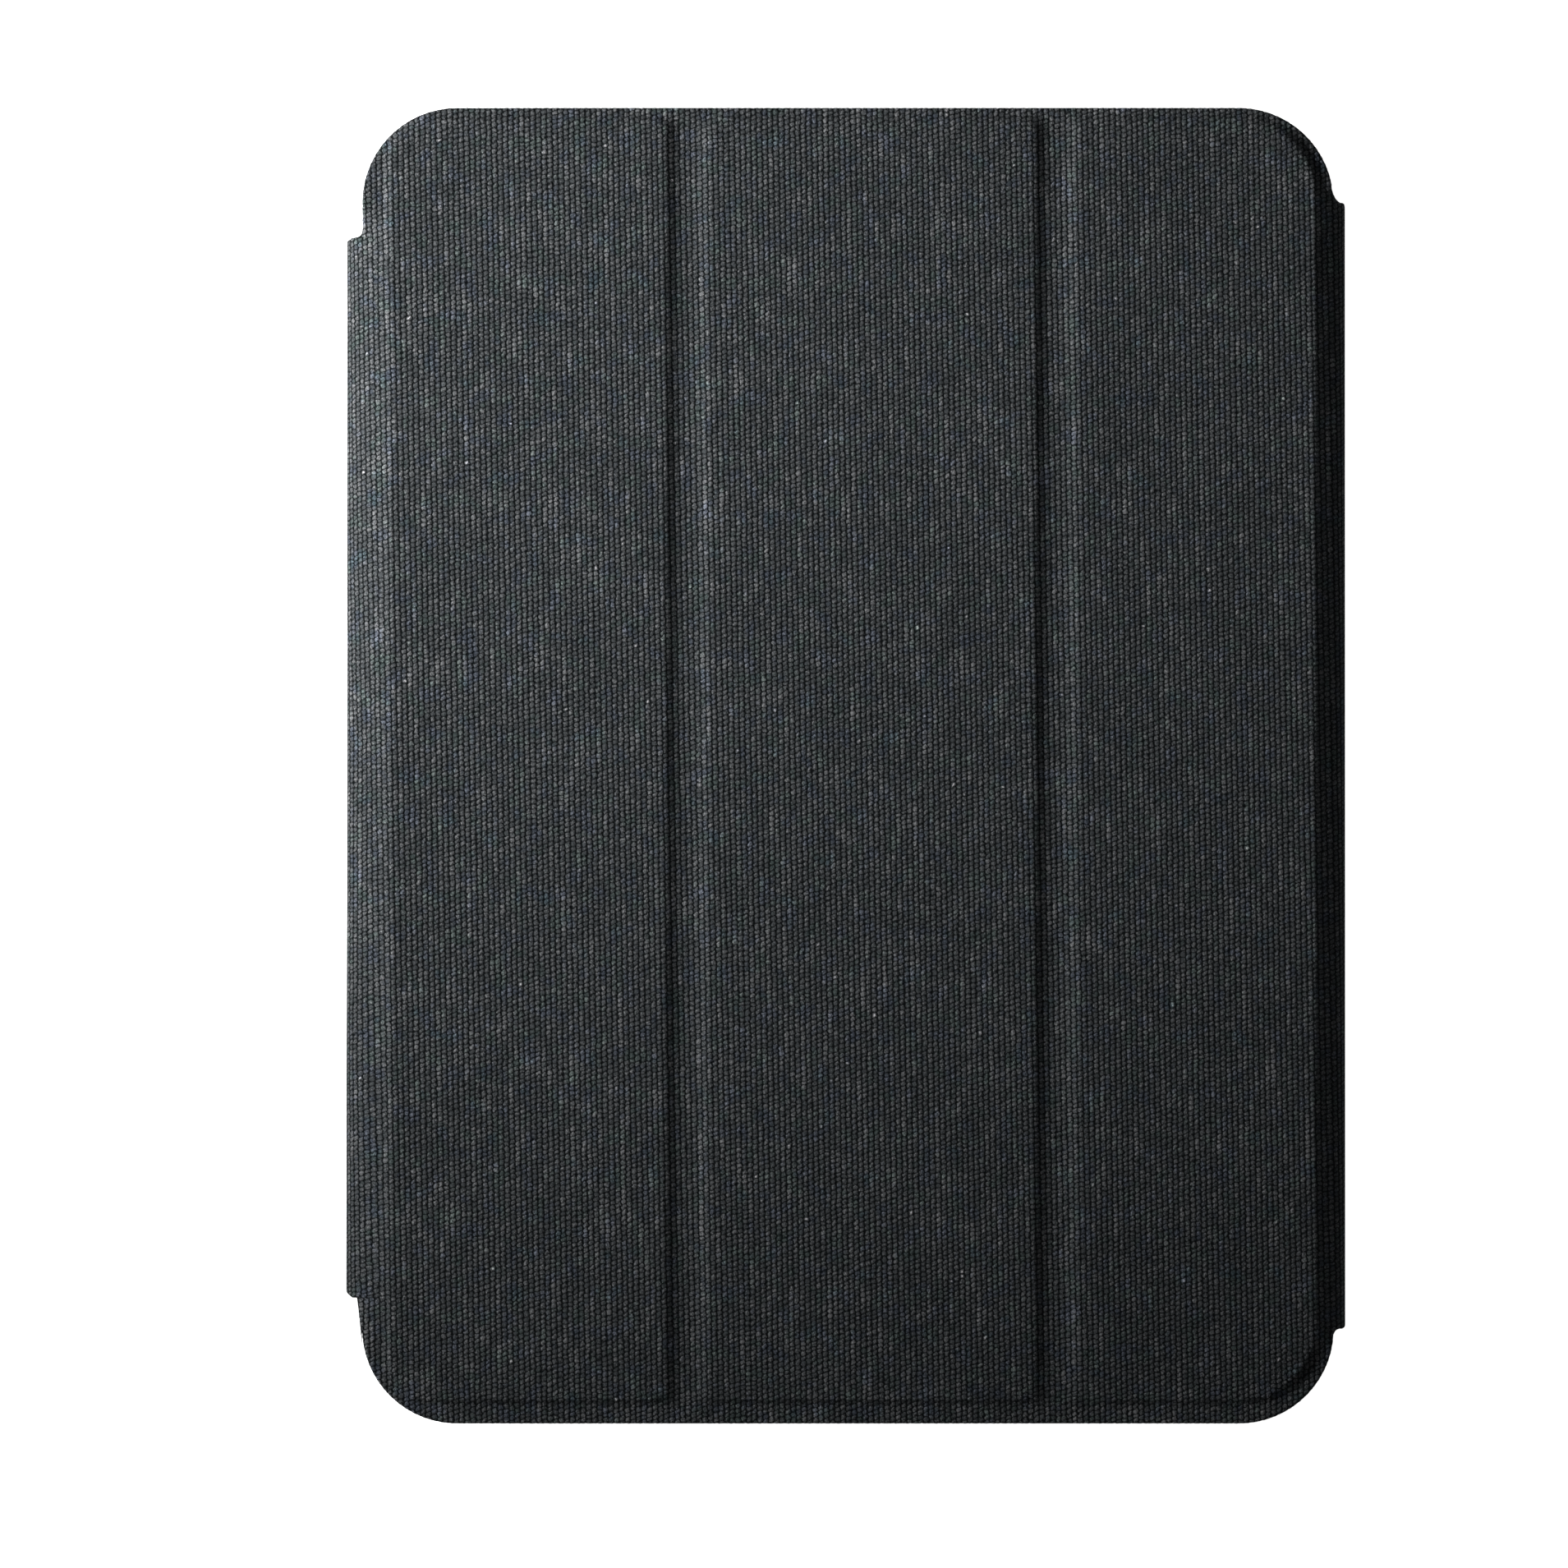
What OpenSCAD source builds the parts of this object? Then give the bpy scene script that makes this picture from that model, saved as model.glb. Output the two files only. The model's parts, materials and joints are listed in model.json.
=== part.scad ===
// Folio keyboard case for a 10.9 inch tablet, lying closed on its back.
// X runs from the spine to the clasp, Y along the long side, Z up out of the cover.
// All sizes are millimetres. The origin is under the middle of the closed case.

/* [Tablet] */
// Length of the tablet that the tray holds
tablet_l = 248.6; // [246:0.1:251]
// Width of the tablet that the tray holds
tablet_w = 179.5; // [178:0.1:182]
// Thickness of the tablet that the tray holds
tablet_t = 7; // [6:0.1:9]
// Corner radius of the tablet, seen from above
tablet_r = 17.6; // [14:0.1:20]

/* [Tray] */
// Free space round the tablet in the tray
tablet_gap = 0.3; // [0.1:0.1:0.6]
// Wall of the moulded tray
tray_wall = 1.6; // [1.2:0.1:2.2]
// Floor of the moulded tray
tray_floor = 1; // [0.8:0.1:1.6]
// How far the tray's lip reaches over the tablet
tray_lip = 1.2; // [0.8:0.1:1.6]
// Thickness of that lip
tray_lip_t = 0.8; // [0.6:0.1:1.2]
// Thickness of the felt pad on the tray's floor
felt_t = 0.3; // [0.2:0.1:0.5]
// Radius of the camera hole
camera_r = 6.3; // [5:0.1:8]
// Distance from the camera's centre to the tablet's clasp side
camera_from_side = 15; // [14:0.5:20]
// Distance from the camera's centre to the tablet's top end
camera_from_end = 13; // [13:0.5:20]

/* [Cover] */
// Thickness of the woven outer cloth
cloth_t = 0.7; // [0.5:0.1:0.9]
// Thickness of the suede lining
lining_t = 0.4; // [0.3:0.1:0.5]
// Thickness of the stiff boards
board_t = 1.3; // [1:0.1:1.6]
// How far the cover overhangs the tray at its long sides
cover_side = 2.5; // [2:0.1:3]
// How far the cover overhangs the tray at its ends
cover_end = 1.3; // [1:0.1:2]
// Corner radius of the cover
cover_r = 18.4; // [15:0.1:20]
// Width of the first cover panel, from the cover's edge to the first crease
panel_1_w = 63; // [60:0.5:66]
// Width of the middle cover panel, from crease to crease
panel_2_w = 71.5; // [69:0.5:74]
// Width of the flat floor of a crease
crease_w = 4.8; // [4:0.1:5.2]
// Width of the slope from a board's edge down to the crease or the rim
pad_slope = 2.6; // [1.8:0.1:2.8]
// Rim from the cover's edge to the raised board, at the spine side
rim_spine = 6; // [5.5:0.1:6.5]
// Rim at the clasp side
rim_clasp = 4; // [3.6:0.1:4.4]
// Rim at the top end
rim_top = 2.9; // [2.6:0.1:3.4]
// Rim at the bottom end
rim_bottom = 4.9; // [4.4:0.1:5.4]
// Corner radius of the first board at the spine side
pad_r_spine = 8; // [6:0.5:10]
// Corner radius of the last board at the clasp side
pad_r_clasp = 14; // [12:0.5:16]
// Corner radius of the boards at a crease
pad_r_crease = 1.5; // [1:0.1:2.5]

/* [Spine and clasp] */
// How far the spine stops short of the cover's ends
spine_end = 25; // [23.5:0.1:32]
// How far the clasp flap stops short of the cover's ends
clasp_end = 18.3; // [18:0.1:27]
// Corner radius of the clasp's free corners
clasp_r = 2.5; // [1:0.1:4]
// Thickness of the stiffener in the spine and the clasp
stiffener_t = 0.8; // [0.6:0.1:1]
// Space between the tray and the inside of the spine
spine_gap = 3.65; // [3.4:0.05:4.2]
// Space between the tray and the inside of the clasp, at its hinge
clasp_gap = 2.6; // [2.4:0.05:3]
// Height of the spine's stiff strip above the table
spine_low = 4.4; // [4:0.1:5]
// How far the spine and clasp end below the top of the cover
fold_drop = 7; // [6.6:0.1:7.4]
// Height of the clasp's lower edge above the table
clasp_low = 2.6; // [2.4:0.1:4]
// Lean of the clasp towards the tray
clasp_lean = 9; // [7:0.5:9.5]

/* [Keyboard] */
// How far the keyboard rests on the tray's lip, beyond the tray's opening
kb_rest = 1.45; // [1.2:0.05:1.6]
// Corner radius of the keyboard
kb_r = 17; // [14:0.5:18]
// Height of the keyboard, from its rubber strips to its key tops
kb_t = 5.7; // [5.6:0.1:6.4]
// How far the key tops stand above the deck
key_proud = 0.4; // [0.3:0.1:0.6]
// Thickness of the deck
deck_t = 0.9; // [0.8:0.1:1.1]
// Thickness of the keyboard base's floor
kb_floor = 0.8; // [0.7:0.1:1]
// Wall of the keyboard base
kb_wall = 1.5; // [1.3:0.1:2]
// How far the rubber strips stand out of the base
strip_proud = 0.4; // [0.3:0.1:0.5]
// Margin from the keys to the keyboard's ends
key_margin = 6.55; // [6:0.05:9]
// Depth of the function keys, as a share of the pitch
fn_depth = 0.62; // [0.55:0.01:0.7]
// Gap between neighbouring keycaps
key_gap = 2.2; // [2:0.1:2.6]
// Clearance from a keycap to its hole in the deck
key_clear = 0.3; // [0.25:0.05:0.4]
// Corner radius of a keycap
key_r = 1.3; // [1:0.1:1.6]
// Travel of a key
key_travel = 1.1; // [0.8:0.1:1.2]
// Rim between the keys and the keyboard's far side
key_rim = 10; // [9:0.5:12]
// Length of the touchpad along the keyboard's long side
pad_l = 104; // [90:1:110]
// Margin from the touchpad to the keys and to the keyboard's near side
pad_margin = 8.8; // [7:0.1:12]
// Gap between the lining and the key tops
lid_gap = 0.3; // [0.2:0.1:0.5]

/* [Hidden] */
$fn = 48;
eps = 0.01;

// Laminate of cloth and lining, where no board lies between them
web_t = cloth_t + lining_t;
leaf_t = web_t + stiffener_t;

// Tray and back, from the table upwards
back_t = cloth_t + board_t;
tray_w = tablet_w + 2 * (tablet_gap + tray_wall);
tray_l = tablet_l + 2 * (tablet_gap + tray_wall);
tray_z = back_t;
cavity_z = tray_z + tray_floor;
tablet_z = cavity_z + felt_t;
tablet_play = 0.1;
lip_z = tablet_z + tablet_t + tablet_play;
tray_top = lip_z + tray_lip_t;
spine_out = tray_w / 2 + spine_gap + leaf_t;
clasp_out = tray_w / 2 + clasp_gap + leaf_t;
half_w = (spine_out + clasp_out) / 2;
mid_x = (spine_out - clasp_out) / 2;
tray_x0 = mid_x - tray_w / 2;
tray_x1 = mid_x + tray_w / 2;
camera_x = mid_x + tablet_w / 2 - camera_from_side;
camera_y = tablet_l / 2 - camera_from_end;

// Cover, from the key tops upwards
key_top = tray_top + kb_t;
cover_z = key_top + lid_gap;
rim_z = cover_z + lining_t;
rim_top_z = rim_z + cloth_t;
board_top = rim_z + board_t;
top_z = board_top + cloth_t;
cover_x0 = tray_x0 - cover_side;
cover_x1 = tray_x1 + cover_side;
cover_l = tray_l + 2 * cover_end;
spine_l = cover_l - 2 * spine_end;
clasp_l = cover_l - 2 * clasp_end;
crease_1_x = cover_x0 + panel_1_w;
crease_2_x = crease_1_x + panel_2_w;
pad_x0 = cover_x0 + rim_spine;
pad_x1 = cover_x1 - rim_clasp;
pad_y0 = -cover_l / 2 + rim_bottom;
pad_y1 = cover_l / 2 - rim_top;
pad_at_crease = crease_w / 2 + pad_slope;
spine_seam = pad_x0 - pad_slope;
clasp_seam = pad_x1 + pad_slope;
slot_end_gap = 0.15;

// Back plate
back_seam = tray_x0 - 0.7;
back_x1 = tray_x1 + 1.4;
back_l = cover_l - 1.8;
back_r = cover_r - 0.6;
back_rim = 1.2;
back_chamfer = 0.5;

// Folds
fold_z = top_z - fold_drop;
spine_x = -half_w;
clasp_x = half_w;
web_slope = atan2(board_t, pad_slope);

// Keyboard
kb_z = tray_top + strip_proud;
kb_w = tray_w - 2 * tray_wall - 2 * tray_lip + 2 * kb_rest;
kb_l = tray_l - 2 * tray_wall - 2 * tray_lip + 2 * kb_rest;
kb_x0 = mid_x - kb_w / 2;
kb_x1 = mid_x + kb_w / 2;
deck_top = key_top - key_proud;
deck_z = deck_top - deck_t;
kb_in = kb_z + kb_floor;
kb_chamfer = 0.7;
joint_play = 0.15;

// Keys: one list of widths for each row, in key units, read from the keyboard's left end
row_units = 14;
function plain(count) = [for (i = [1:count]) 1];
row_fn = plain(row_units);
row_number = concat(plain(row_units - 2), [2]);
row_upper = concat([1.5], plain(row_units - 3), [1.5]);
row_home = concat([1.75], plain(row_units - 4), [2.25]);
row_lower = concat([2], plain(row_units - 4), [2]);
left_modifiers = [1, 1, 1, 1.25];
space_u = 5;
right_modifiers = [1.25, 1];
row_bottom = concat(left_modifiers, [space_u], right_modifiers);
arrow_u = (row_units - sum_to(row_bottom, len(row_bottom))) / 3;
keys_left = kb_l / 2 - key_margin;
key_u = 2 * keys_left / row_units;
keys_x1 = kb_x1 - key_rim;
fn_x0 = keys_x1 - fn_depth * key_u;
rows_x0 = fn_x0 - 5 * key_u;
cap_skirt = 1.7;
cap_roof = 1;
cap_wall = 1;
cap_step = 0.25;
stem_r = 2.2;
stem_room = 0.3;
stem_out = 0.2;
stem_drop = cap_skirt + stem_out;
dome_r = 3;
dome_gap = 0.1;
sheet_t = 0.2;
membrane_t = 0.4;
membrane_z = key_top - stem_drop - dome_gap - key_travel - sheet_t - membrane_t;
touch_x = (rows_x0 + kb_x0) / 2;
touch_sink = 0.05;
pad_d = rows_x0 - kb_x0 - 2 * pad_margin;

// ---------------------------------------------------------------- plain shapes

// Sum of the first n numbers of a list
function sum_to(list, n) = n <= 0 ? 0 : list[n - 1] + sum_to(list, n - 1);

// Point of a cubic curve through four control points
function bezier(p, t) = pow(1 - t, 3) * p[0] + 3 * pow(1 - t, 2) * t * p[1]
    + 3 * (1 - t) * t * t * p[2] + pow(t, 3) * p[3];

// Direction of that curve
function bezier_dir(p, t) = let (d = pow(1 - t, 2) * (p[1] - p[0]) + 2 * (1 - t) * t * (p[2] - p[1])
    + t * t * (p[3] - p[2])) d / norm(d);

// Outline of a strip of thickness t to the left of a cubic curve
function strip_outline(p, t, from = 0, steps = 12) = concat(
    [for (i = [0:steps]) let (d = bezier_dir(p, i / steps)) bezier(p, i / steps) + from * [-d.y, d.x]],
    [for (i = [steps:-1:0]) let (d = bezier_dir(p, i / steps))
        bezier(p, i / steps) + (from + t) * [-d.y, d.x]]);

// Flat rounded rectangle between two corners
module rounded(x0, x1, y0, y1, r) {
    translate([x0 + r, y0]) square([x1 - x0 - 2 * r, y1 - y0]);
    translate([x0, y0 + r]) square([x1 - x0, y1 - y0 - 2 * r]);
    for (x = [x0 + r, x1 - r], y = [y0 + r, y1 - r]) translate([x, y]) circle(r);
}

// The same, with one radius at each end of X
module rounded_ends(x0, x1, y0, y1, r0, r1) {
    middle = (x0 + x1) / 2;
    intersection() {
        rounded(x0, 2 * middle - x0 + 2 * r0, y0, y1, r0);
        translate([x0, y0]) square([middle - x0, y1 - y0]);
    }
    intersection() {
        rounded(2 * middle - x1 - 2 * r1, x1, y0, y1, r1);
        translate([middle, y0]) square([x1 - middle, y1 - y0]);
    }
}

// Slab of a flat shape from one height to another
module slab(z0, z1) {
    translate([0, 0, z0]) linear_extrude(z1 - z0) children();
}

// Flat shape in X and Z, drawn out along the long side
module along_y(l) {
    translate([0, l / 2, 0]) rotate([90, 0, 0]) linear_extrude(l) children();
}

// Rounded plate whose bottom edge is chamfered
module chamfered_plate(x0, x1, y0, y1, r, z0, z1, chamfer) {
    hull() {
        slab(z0, z0 + eps)
            rounded(x0 + chamfer, x1 - chamfer, y0 + chamfer, y1 - chamfer, r - chamfer);
        slab(z0 + chamfer, z1) rounded(x0, x1, y0, y1, r);
    }
}

// Box between two corners
module block(x0, x1, y0, y1, z0, z1) {
    translate([x0, y0, z0]) cube([x1 - x0, y1 - y0, z1 - z0]);
}

// ---------------------------------------------------------------- back and tray

module back_board_outline() {
    rounded(back_seam + back_rim, back_x1 - back_rim, -back_l / 2 + back_rim,
        back_l / 2 - back_rim, back_r - back_rim);
}

module camera_bore(r, z0, z1) {
    translate([camera_x, camera_y, z0]) cylinder(r = r, h = z1 - z0);
}

ring_wall = 1.2;
ring_flange = 1.2;
ring_sink = 0.2;

module back_skin() {
    color("#2f3236") difference() {
        chamfered_plate(back_seam, back_x1, -back_l / 2, back_l / 2, back_r, 0, back_t, back_chamfer);
        slab(cloth_t, back_t + 1) back_board_outline();
        camera_bore(camera_r + ring_wall + ring_flange, -1, back_t);
    }
}

module back_board() {
    color("#8a7a60") difference() {
        slab(cloth_t, back_t) back_board_outline();
        camera_bore(camera_r + ring_wall, -1, back_t + 1);
    }
}

module camera_ring() {
    color("#1c1d1f") difference() {
        union() {
            camera_bore(camera_r + ring_wall, ring_sink, cavity_z);
            camera_bore(camera_r + ring_wall + ring_flange, ring_sink, cloth_t);
        }
        camera_bore(camera_r, -1, cavity_z + 1);
    }
}

// Level slot through an end wall of the tray, with round ends
module wall_slot(x, z, w, h, end) {
    y = end * tray_l / 2;
    for (side = [-1, 1]) translate([x + side * (w - h) / 2, y, z]) rotate([90, 0, 0])
        cylinder(d = h, h = 4 * tray_wall, center = true);
    translate([x, y, z]) cube([w - h, 4 * tray_wall, h], center = true);
}

keeper_t = 0.5;
keeper_h = 6;
keeper_l = 160;
keeper_z = tablet_z + tablet_t / 2 - keeper_h / 2;
port_z = tablet_z + tablet_t / 2;

// Openings in the tray's ends, as places from the middle or from the tablet's sides
plug_w = 14;
plug_h = 5.4;
speaker_w = 3.6;
speaker_h = 1.8;
speaker_pitch = 5;
speaker_count = 5;
speakers_by_plug = 38;
button_h = 4;
volume_w = 30;
volume_from_side = 28;
volume_from_speakers = 2.95;
sleep_w = 18;
sleep_from_side = 27;
speakers_at_top = tablet_w / 2 - volume_from_side - volume_w / 2 - volume_from_speakers
    - (speaker_count - 1) * speaker_pitch - speaker_w / 2;

// Row of speaker slots on both sides of the middle of one end
module speaker_slots(first, end) {
    for (side = [-1, 1], step = [0:speaker_count - 1])
        wall_slot(mid_x + side * (first + step * speaker_pitch), port_z, speaker_w, speaker_h, end);
}

module tray_cuts() {
    wall_slot(mid_x, port_z, plug_w, plug_h, -1);
    speaker_slots(speakers_by_plug, -1);
    speaker_slots(speakers_at_top, 1);
    wall_slot(mid_x - tablet_w / 2 + volume_from_side, port_z, volume_w, button_h, 1);
    wall_slot(mid_x + tablet_w / 2 - sleep_from_side, port_z, sleep_w, button_h, 1);
}

module tray_outer(inset) {
    rounded(tray_x0 + inset, tray_x1 - inset, -tray_l / 2 + inset, tray_l / 2 - inset,
        tablet_r + tablet_gap + tray_wall - inset);
}

corner_lip_w = 36;

// Corner cushions: the lip is wider at the corners, where the tray takes a knock
module corner_lip() {
    for (x = [tray_x0, tray_x1], y = [-tray_l / 2, tray_l / 2]) translate([x, y]) rotate(45)
        square(corner_lip_w, center = true);
}

module tablet_tray() {
    tray_edge = 0.6;
    color("#202124") difference() {
        union() {
            slab(tray_z, tray_top - tray_edge) tray_outer(0);
            slab(tray_top - tray_edge, tray_top) tray_outer(tray_edge / 2);
        }
        slab(cavity_z, lip_z) tray_outer(tray_wall);
        slab(lip_z - eps, tray_top + 1) difference() {
            tray_outer(tray_wall + tray_lip);
            corner_lip();
        }
        slab(lip_z - eps, tray_top + 1) tray_outer(tray_wall + tray_lip + 1);
        tray_cuts();
        camera_bore(camera_r + ring_wall, tray_z - 1, cavity_z + 1);
        block(tray_x1 - keeper_t, tray_x1 + 1, -keeper_l / 2, keeper_l / 2, keeper_z, keeper_z + keeper_h);
    }
}

module tray_felt() {
    felt_inset = 6;
    color("#4a4c50") difference() {
        slab(cavity_z, tablet_z) tray_outer(tray_wall + felt_inset);
        camera_bore(camera_r + ring_wall + 1, 0, tablet_z + 1);
    }
}

module keeper_strip() {
    color("silver") block(tray_x1 - keeper_t, tray_x1, -keeper_l / 2, keeper_l / 2,
        keeper_z, keeper_z + keeper_h);
}

// ---------------------------------------------------------------- spine and folds

module spine_leaf(from, to) {
    block(spine_x + from, spine_x + to, -spine_l / 2, spine_l / 2, spine_low, fold_z);
}

module spine_skin() {
    color("#2f3236") spine_leaf(0, cloth_t);
}

module spine_stiffener() {
    color("#8a7a60") spine_leaf(cloth_t, cloth_t + stiffener_t);
}

module spine_lining() {
    color("#55585c") spine_leaf(cloth_t + stiffener_t, leaf_t);
}

// How far the folds run straight on from each end, before they bend towards the other
back_run = 2.5;
back_turn_z = 1.8;
spine_run = 3.2;
cover_run = 3;
clasp_cover_run = 1.9;
clasp_run = 2.2;

// Control points of the folds, along the outer face of the cloth
back_web = [[back_seam, 0], [back_seam - back_run, 0], [spine_x, back_turn_z], [spine_x, spine_low]];
cover_web = [[spine_x, fold_z], [spine_x, fold_z + spine_run],
    [spine_seam, rim_top_z] - cover_run * [cos(web_slope), sin(web_slope)], [spine_seam, rim_top_z]];
clasp_top = [clasp_x, fold_z];
clasp_web = [[clasp_seam, rim_top_z],
    [clasp_seam, rim_top_z] + clasp_cover_run * [cos(web_slope), -sin(web_slope)],
    clasp_top + clasp_run * [sin(clasp_lean), cos(clasp_lean)], clasp_top];

module back_hinge_web() {
    color("#3a3d42") along_y(spine_l) polygon(strip_outline(back_web, -web_t));
}

module cover_hinge_web() {
    color("#3a3d42") along_y(spine_l) intersection() {
        polygon(strip_outline(cover_web, -web_t));
        translate([spine_seam - top_z, 0]) square([top_z, 2 * top_z]);
    }
}

module clasp_hinge_web() {
    color("#3a3d42") along_y(clasp_l) intersection() {
        polygon(strip_outline(clasp_web, -web_t));
        translate([clasp_seam, 0]) square([top_z, 2 * top_z]);
    }
}

module crease_web(x) {
    color("#3a3d42") slab(cover_z, rim_top_z) intersection() {
        cover_outline(0);
        translate([x - crease_w / 2, -cover_l]) square([crease_w, 2 * cover_l]);
    }
}

module crease_web_1() {
    crease_web(crease_1_x);
}

module crease_web_2() {
    crease_web(crease_2_x);
}

// ---------------------------------------------------------------- cover panels

module cover_outline(inset) {
    rounded(cover_x0 + inset, cover_x1 - inset, -cover_l / 2 + inset, cover_l / 2 - inset,
        cover_r - inset);
}

// Flat shape of one panel: the cover's outline between two creases, less the notches of the folds
module panel_outline(x0, x1, inset = 0) {
    difference() {
        intersection() {
            cover_outline(inset);
            translate([x0, -cover_l]) square([x1 - x0, 2 * cover_l]);
        }
        translate([cover_x0 - 1, -spine_l / 2 - slot_end_gap])
            square([spine_seam - cover_x0 + 1, spine_l + 2 * slot_end_gap]);
        translate([clasp_seam, -clasp_l / 2 - slot_end_gap])
            square([cover_x1 - clasp_seam + 1, clasp_l + 2 * slot_end_gap]);
    }
}

// Raised board under the cloth, as a top outline and a foot that is wider all round
module pad_hull(x0, x1, r0, r1) {
    hull() {
        slab(rim_top_z - eps, rim_top_z)
            rounded_ends(x0 - pad_slope, x1 + pad_slope, pad_y0 - pad_slope, pad_y1 + pad_slope,
                r0 + pad_slope, r1 + pad_slope);
        slab(top_z - eps, top_z) rounded_ends(x0, x1, pad_y0, pad_y1, r0, r1);
    }
}

module board_slab(x0, x1, r0, r1, z1) {
    slab(rim_z, z1) rounded_ends(x0, x1, pad_y0, pad_y1, r0, r1);
}

module panel_skin(edge0, edge1, x0, x1, r0, r1) {
    color("#2f3236") difference() {
        union() {
            slab(rim_z, rim_top_z) panel_outline(edge0, edge1);
            intersection() {
                pad_hull(x0, x1, r0, r1);
                slab(rim_z, top_z + 1) panel_outline(edge0, edge1);
            }
        }
        slab(rim_z - 1, board_top) rounded_ends(x0, x1, pad_y0, pad_y1, r0, r1);
    }
}

module panel_lining(edge0, edge1) {
    color("#55585c") slab(cover_z, rim_z) panel_outline(edge0, edge1, 0.5);
}

panel_1_edges = [cover_x0, crease_1_x - crease_w / 2];
panel_2_edges = [crease_1_x + crease_w / 2, crease_2_x - crease_w / 2];
panel_3_edges = [crease_2_x + crease_w / 2, cover_x1];
pad_1 = [pad_x0, crease_1_x - pad_at_crease, pad_r_spine, pad_r_crease];
pad_2 = [crease_1_x + pad_at_crease, crease_2_x - pad_at_crease, pad_r_crease, pad_r_crease];
pad_3 = [crease_2_x + pad_at_crease, pad_x1, pad_r_crease, pad_r_clasp];

module prop_keeper_shape() {
    prop_x = 6;
    prop_w = 10;
    block(pad_x0 + prop_x, pad_x0 + prop_x + prop_w, -keeper_l / 2, keeper_l / 2,
        board_top - keeper_t, board_top);
}

module prop_keeper() {
    color("silver") prop_keeper_shape();
}

module sleep_magnet_shape() {
    magnet_r = 2.5;
    magnet_t = 1;
    magnet_step = cover_l / 5;
    for (y = [-1, 0, 1]) translate([pad_x1 - 8, y * magnet_step, rim_z])
        cylinder(r = magnet_r, h = magnet_t);
}

module sleep_magnets() {
    color("silver") sleep_magnet_shape();
}

module panel_board(pad) {
    color("#8a7a60") board_slab(pad[0], pad[1], pad[2], pad[3], board_top);
}

module panel_1_board() {
    difference() {
        panel_board(pad_1);
        prop_keeper_shape();
    }
}

module panel_3_board() {
    difference() {
        panel_board(pad_3);
        sleep_magnet_shape();
    }
}

// ---------------------------------------------------------------- clasp

clasp_h = (fold_z - clasp_low) / cos(clasp_lean);

// Puts its child in the clasp's own frame: X out of it, Y along it, Z up its slope to the hinge
module on_clasp() {
    translate([clasp_top.x, 0, clasp_top.y]) rotate([0, clasp_lean, 0]) children();
}

// Flat outline of the clasp, square at the hinge and round at its two free corners
module clasp_outline() {
    translate([-clasp_l / 2, clasp_r - clasp_h]) square([clasp_l, clasp_h - clasp_r]);
    translate([clasp_r - clasp_l / 2, -clasp_h]) square([clasp_l - 2 * clasp_r, clasp_h]);
    for (side = [-1, 1]) translate([side * (clasp_l / 2 - clasp_r), clasp_r - clasp_h]) circle(clasp_r);
}

// One layer of the clasp, between two depths from its outer face
module clasp_layer(from, to) {
    on_clasp() translate([-to, 0, 0]) rotate([90, 0, 90]) linear_extrude(to - from) clasp_outline();
}

module clasp_skin() {
    color("#2f3236") clasp_layer(0, cloth_t);
}

module clasp_lining() {
    color("#55585c") clasp_layer(cloth_t + stiffener_t, leaf_t);
}

clasp_bar_l = 24;
clasp_bar_step = 44;
clasp_bar_low = 1.4;
clasp_bar_high = 3.2;

module clasp_magnet_shape() {
    for (n = [-1.5:1:1.5]) on_clasp() block(-cloth_t - stiffener_t, -cloth_t,
        n * clasp_bar_step - clasp_bar_l / 2, n * clasp_bar_step + clasp_bar_l / 2,
        clasp_bar_low - clasp_h, -clasp_bar_high);
}

module clasp_stiffener() {
    color("#8a7a60") difference() {
        clasp_layer(cloth_t, cloth_t + stiffener_t);
        clasp_magnet_shape();
    }
}

module clasp_magnets() {
    color("silver") clasp_magnet_shape();
}

module panel_1_skin() {
    panel_skin(panel_1_edges[0], panel_1_edges[1], pad_1[0], pad_1[1], pad_1[2], pad_1[3]);
}

module panel_2_skin() {
    panel_skin(panel_2_edges[0], panel_2_edges[1], pad_2[0], pad_2[1], pad_2[2], pad_2[3]);
}

module panel_3_skin() {
    panel_skin(panel_3_edges[0], panel_3_edges[1], pad_3[0], pad_3[1], pad_3[2], pad_3[3]);
}

module panel_2_board() {
    panel_board(pad_2);
}

module panel_1_lining() {
    panel_lining(panel_1_edges[0], panel_1_edges[1]);
}

module panel_2_lining() {
    panel_lining(panel_2_edges[0], panel_2_edges[1]);
}

module panel_3_lining() {
    panel_lining(panel_3_edges[0], panel_3_edges[1]);
}

// ---------------------------------------------------------------- keys

// Ground plan of key n of a row: X from and to, Y from and to
function key_box(x, h, list, n) = let (u = sum_to(list, n)) [x + key_gap / 2, x + h - key_gap / 2,
    keys_left - (u + list[n]) * key_u + key_gap / 2, keys_left - u * key_u - key_gap / 2];

// Ground plans of a whole row
function row_boxes(x, h, list) = [for (n = [0:len(list) - 1]) key_box(x, h, list, n)];

// Part of a list
function part_of(list, from, to) = [for (n = [from:to]) list[n]];

fn_keys = row_boxes(fn_x0, fn_depth * key_u, row_fn);
number_keys = row_boxes(fn_x0 - key_u, key_u, row_number);
upper_keys = row_boxes(fn_x0 - 2 * key_u, key_u, row_upper);
home_keys = row_boxes(fn_x0 - 3 * key_u, key_u, row_home);
lower_keys = row_boxes(fn_x0 - 4 * key_u, key_u, row_lower);
bottom_keys = row_boxes(rows_x0, key_u, row_bottom);
arrow_0 = len(row_bottom);
last_row = concat(row_bottom, [arrow_u, arrow_u, arrow_u]);
arrow_low = row_boxes(rows_x0, key_u / 2, last_row);
arrow_high = row_boxes(rows_x0 + key_u / 2, key_u / 2, last_row);
arrow_keys = [arrow_low[arrow_0], arrow_high[arrow_0 + 1], arrow_low[arrow_0 + 1],
    arrow_low[arrow_0 + 2]];
all_keys = concat(fn_keys, number_keys, upper_keys, home_keys, lower_keys, bottom_keys, arrow_keys);

cap_flange = 0.6;
cap_flange_t = 0.3;

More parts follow.
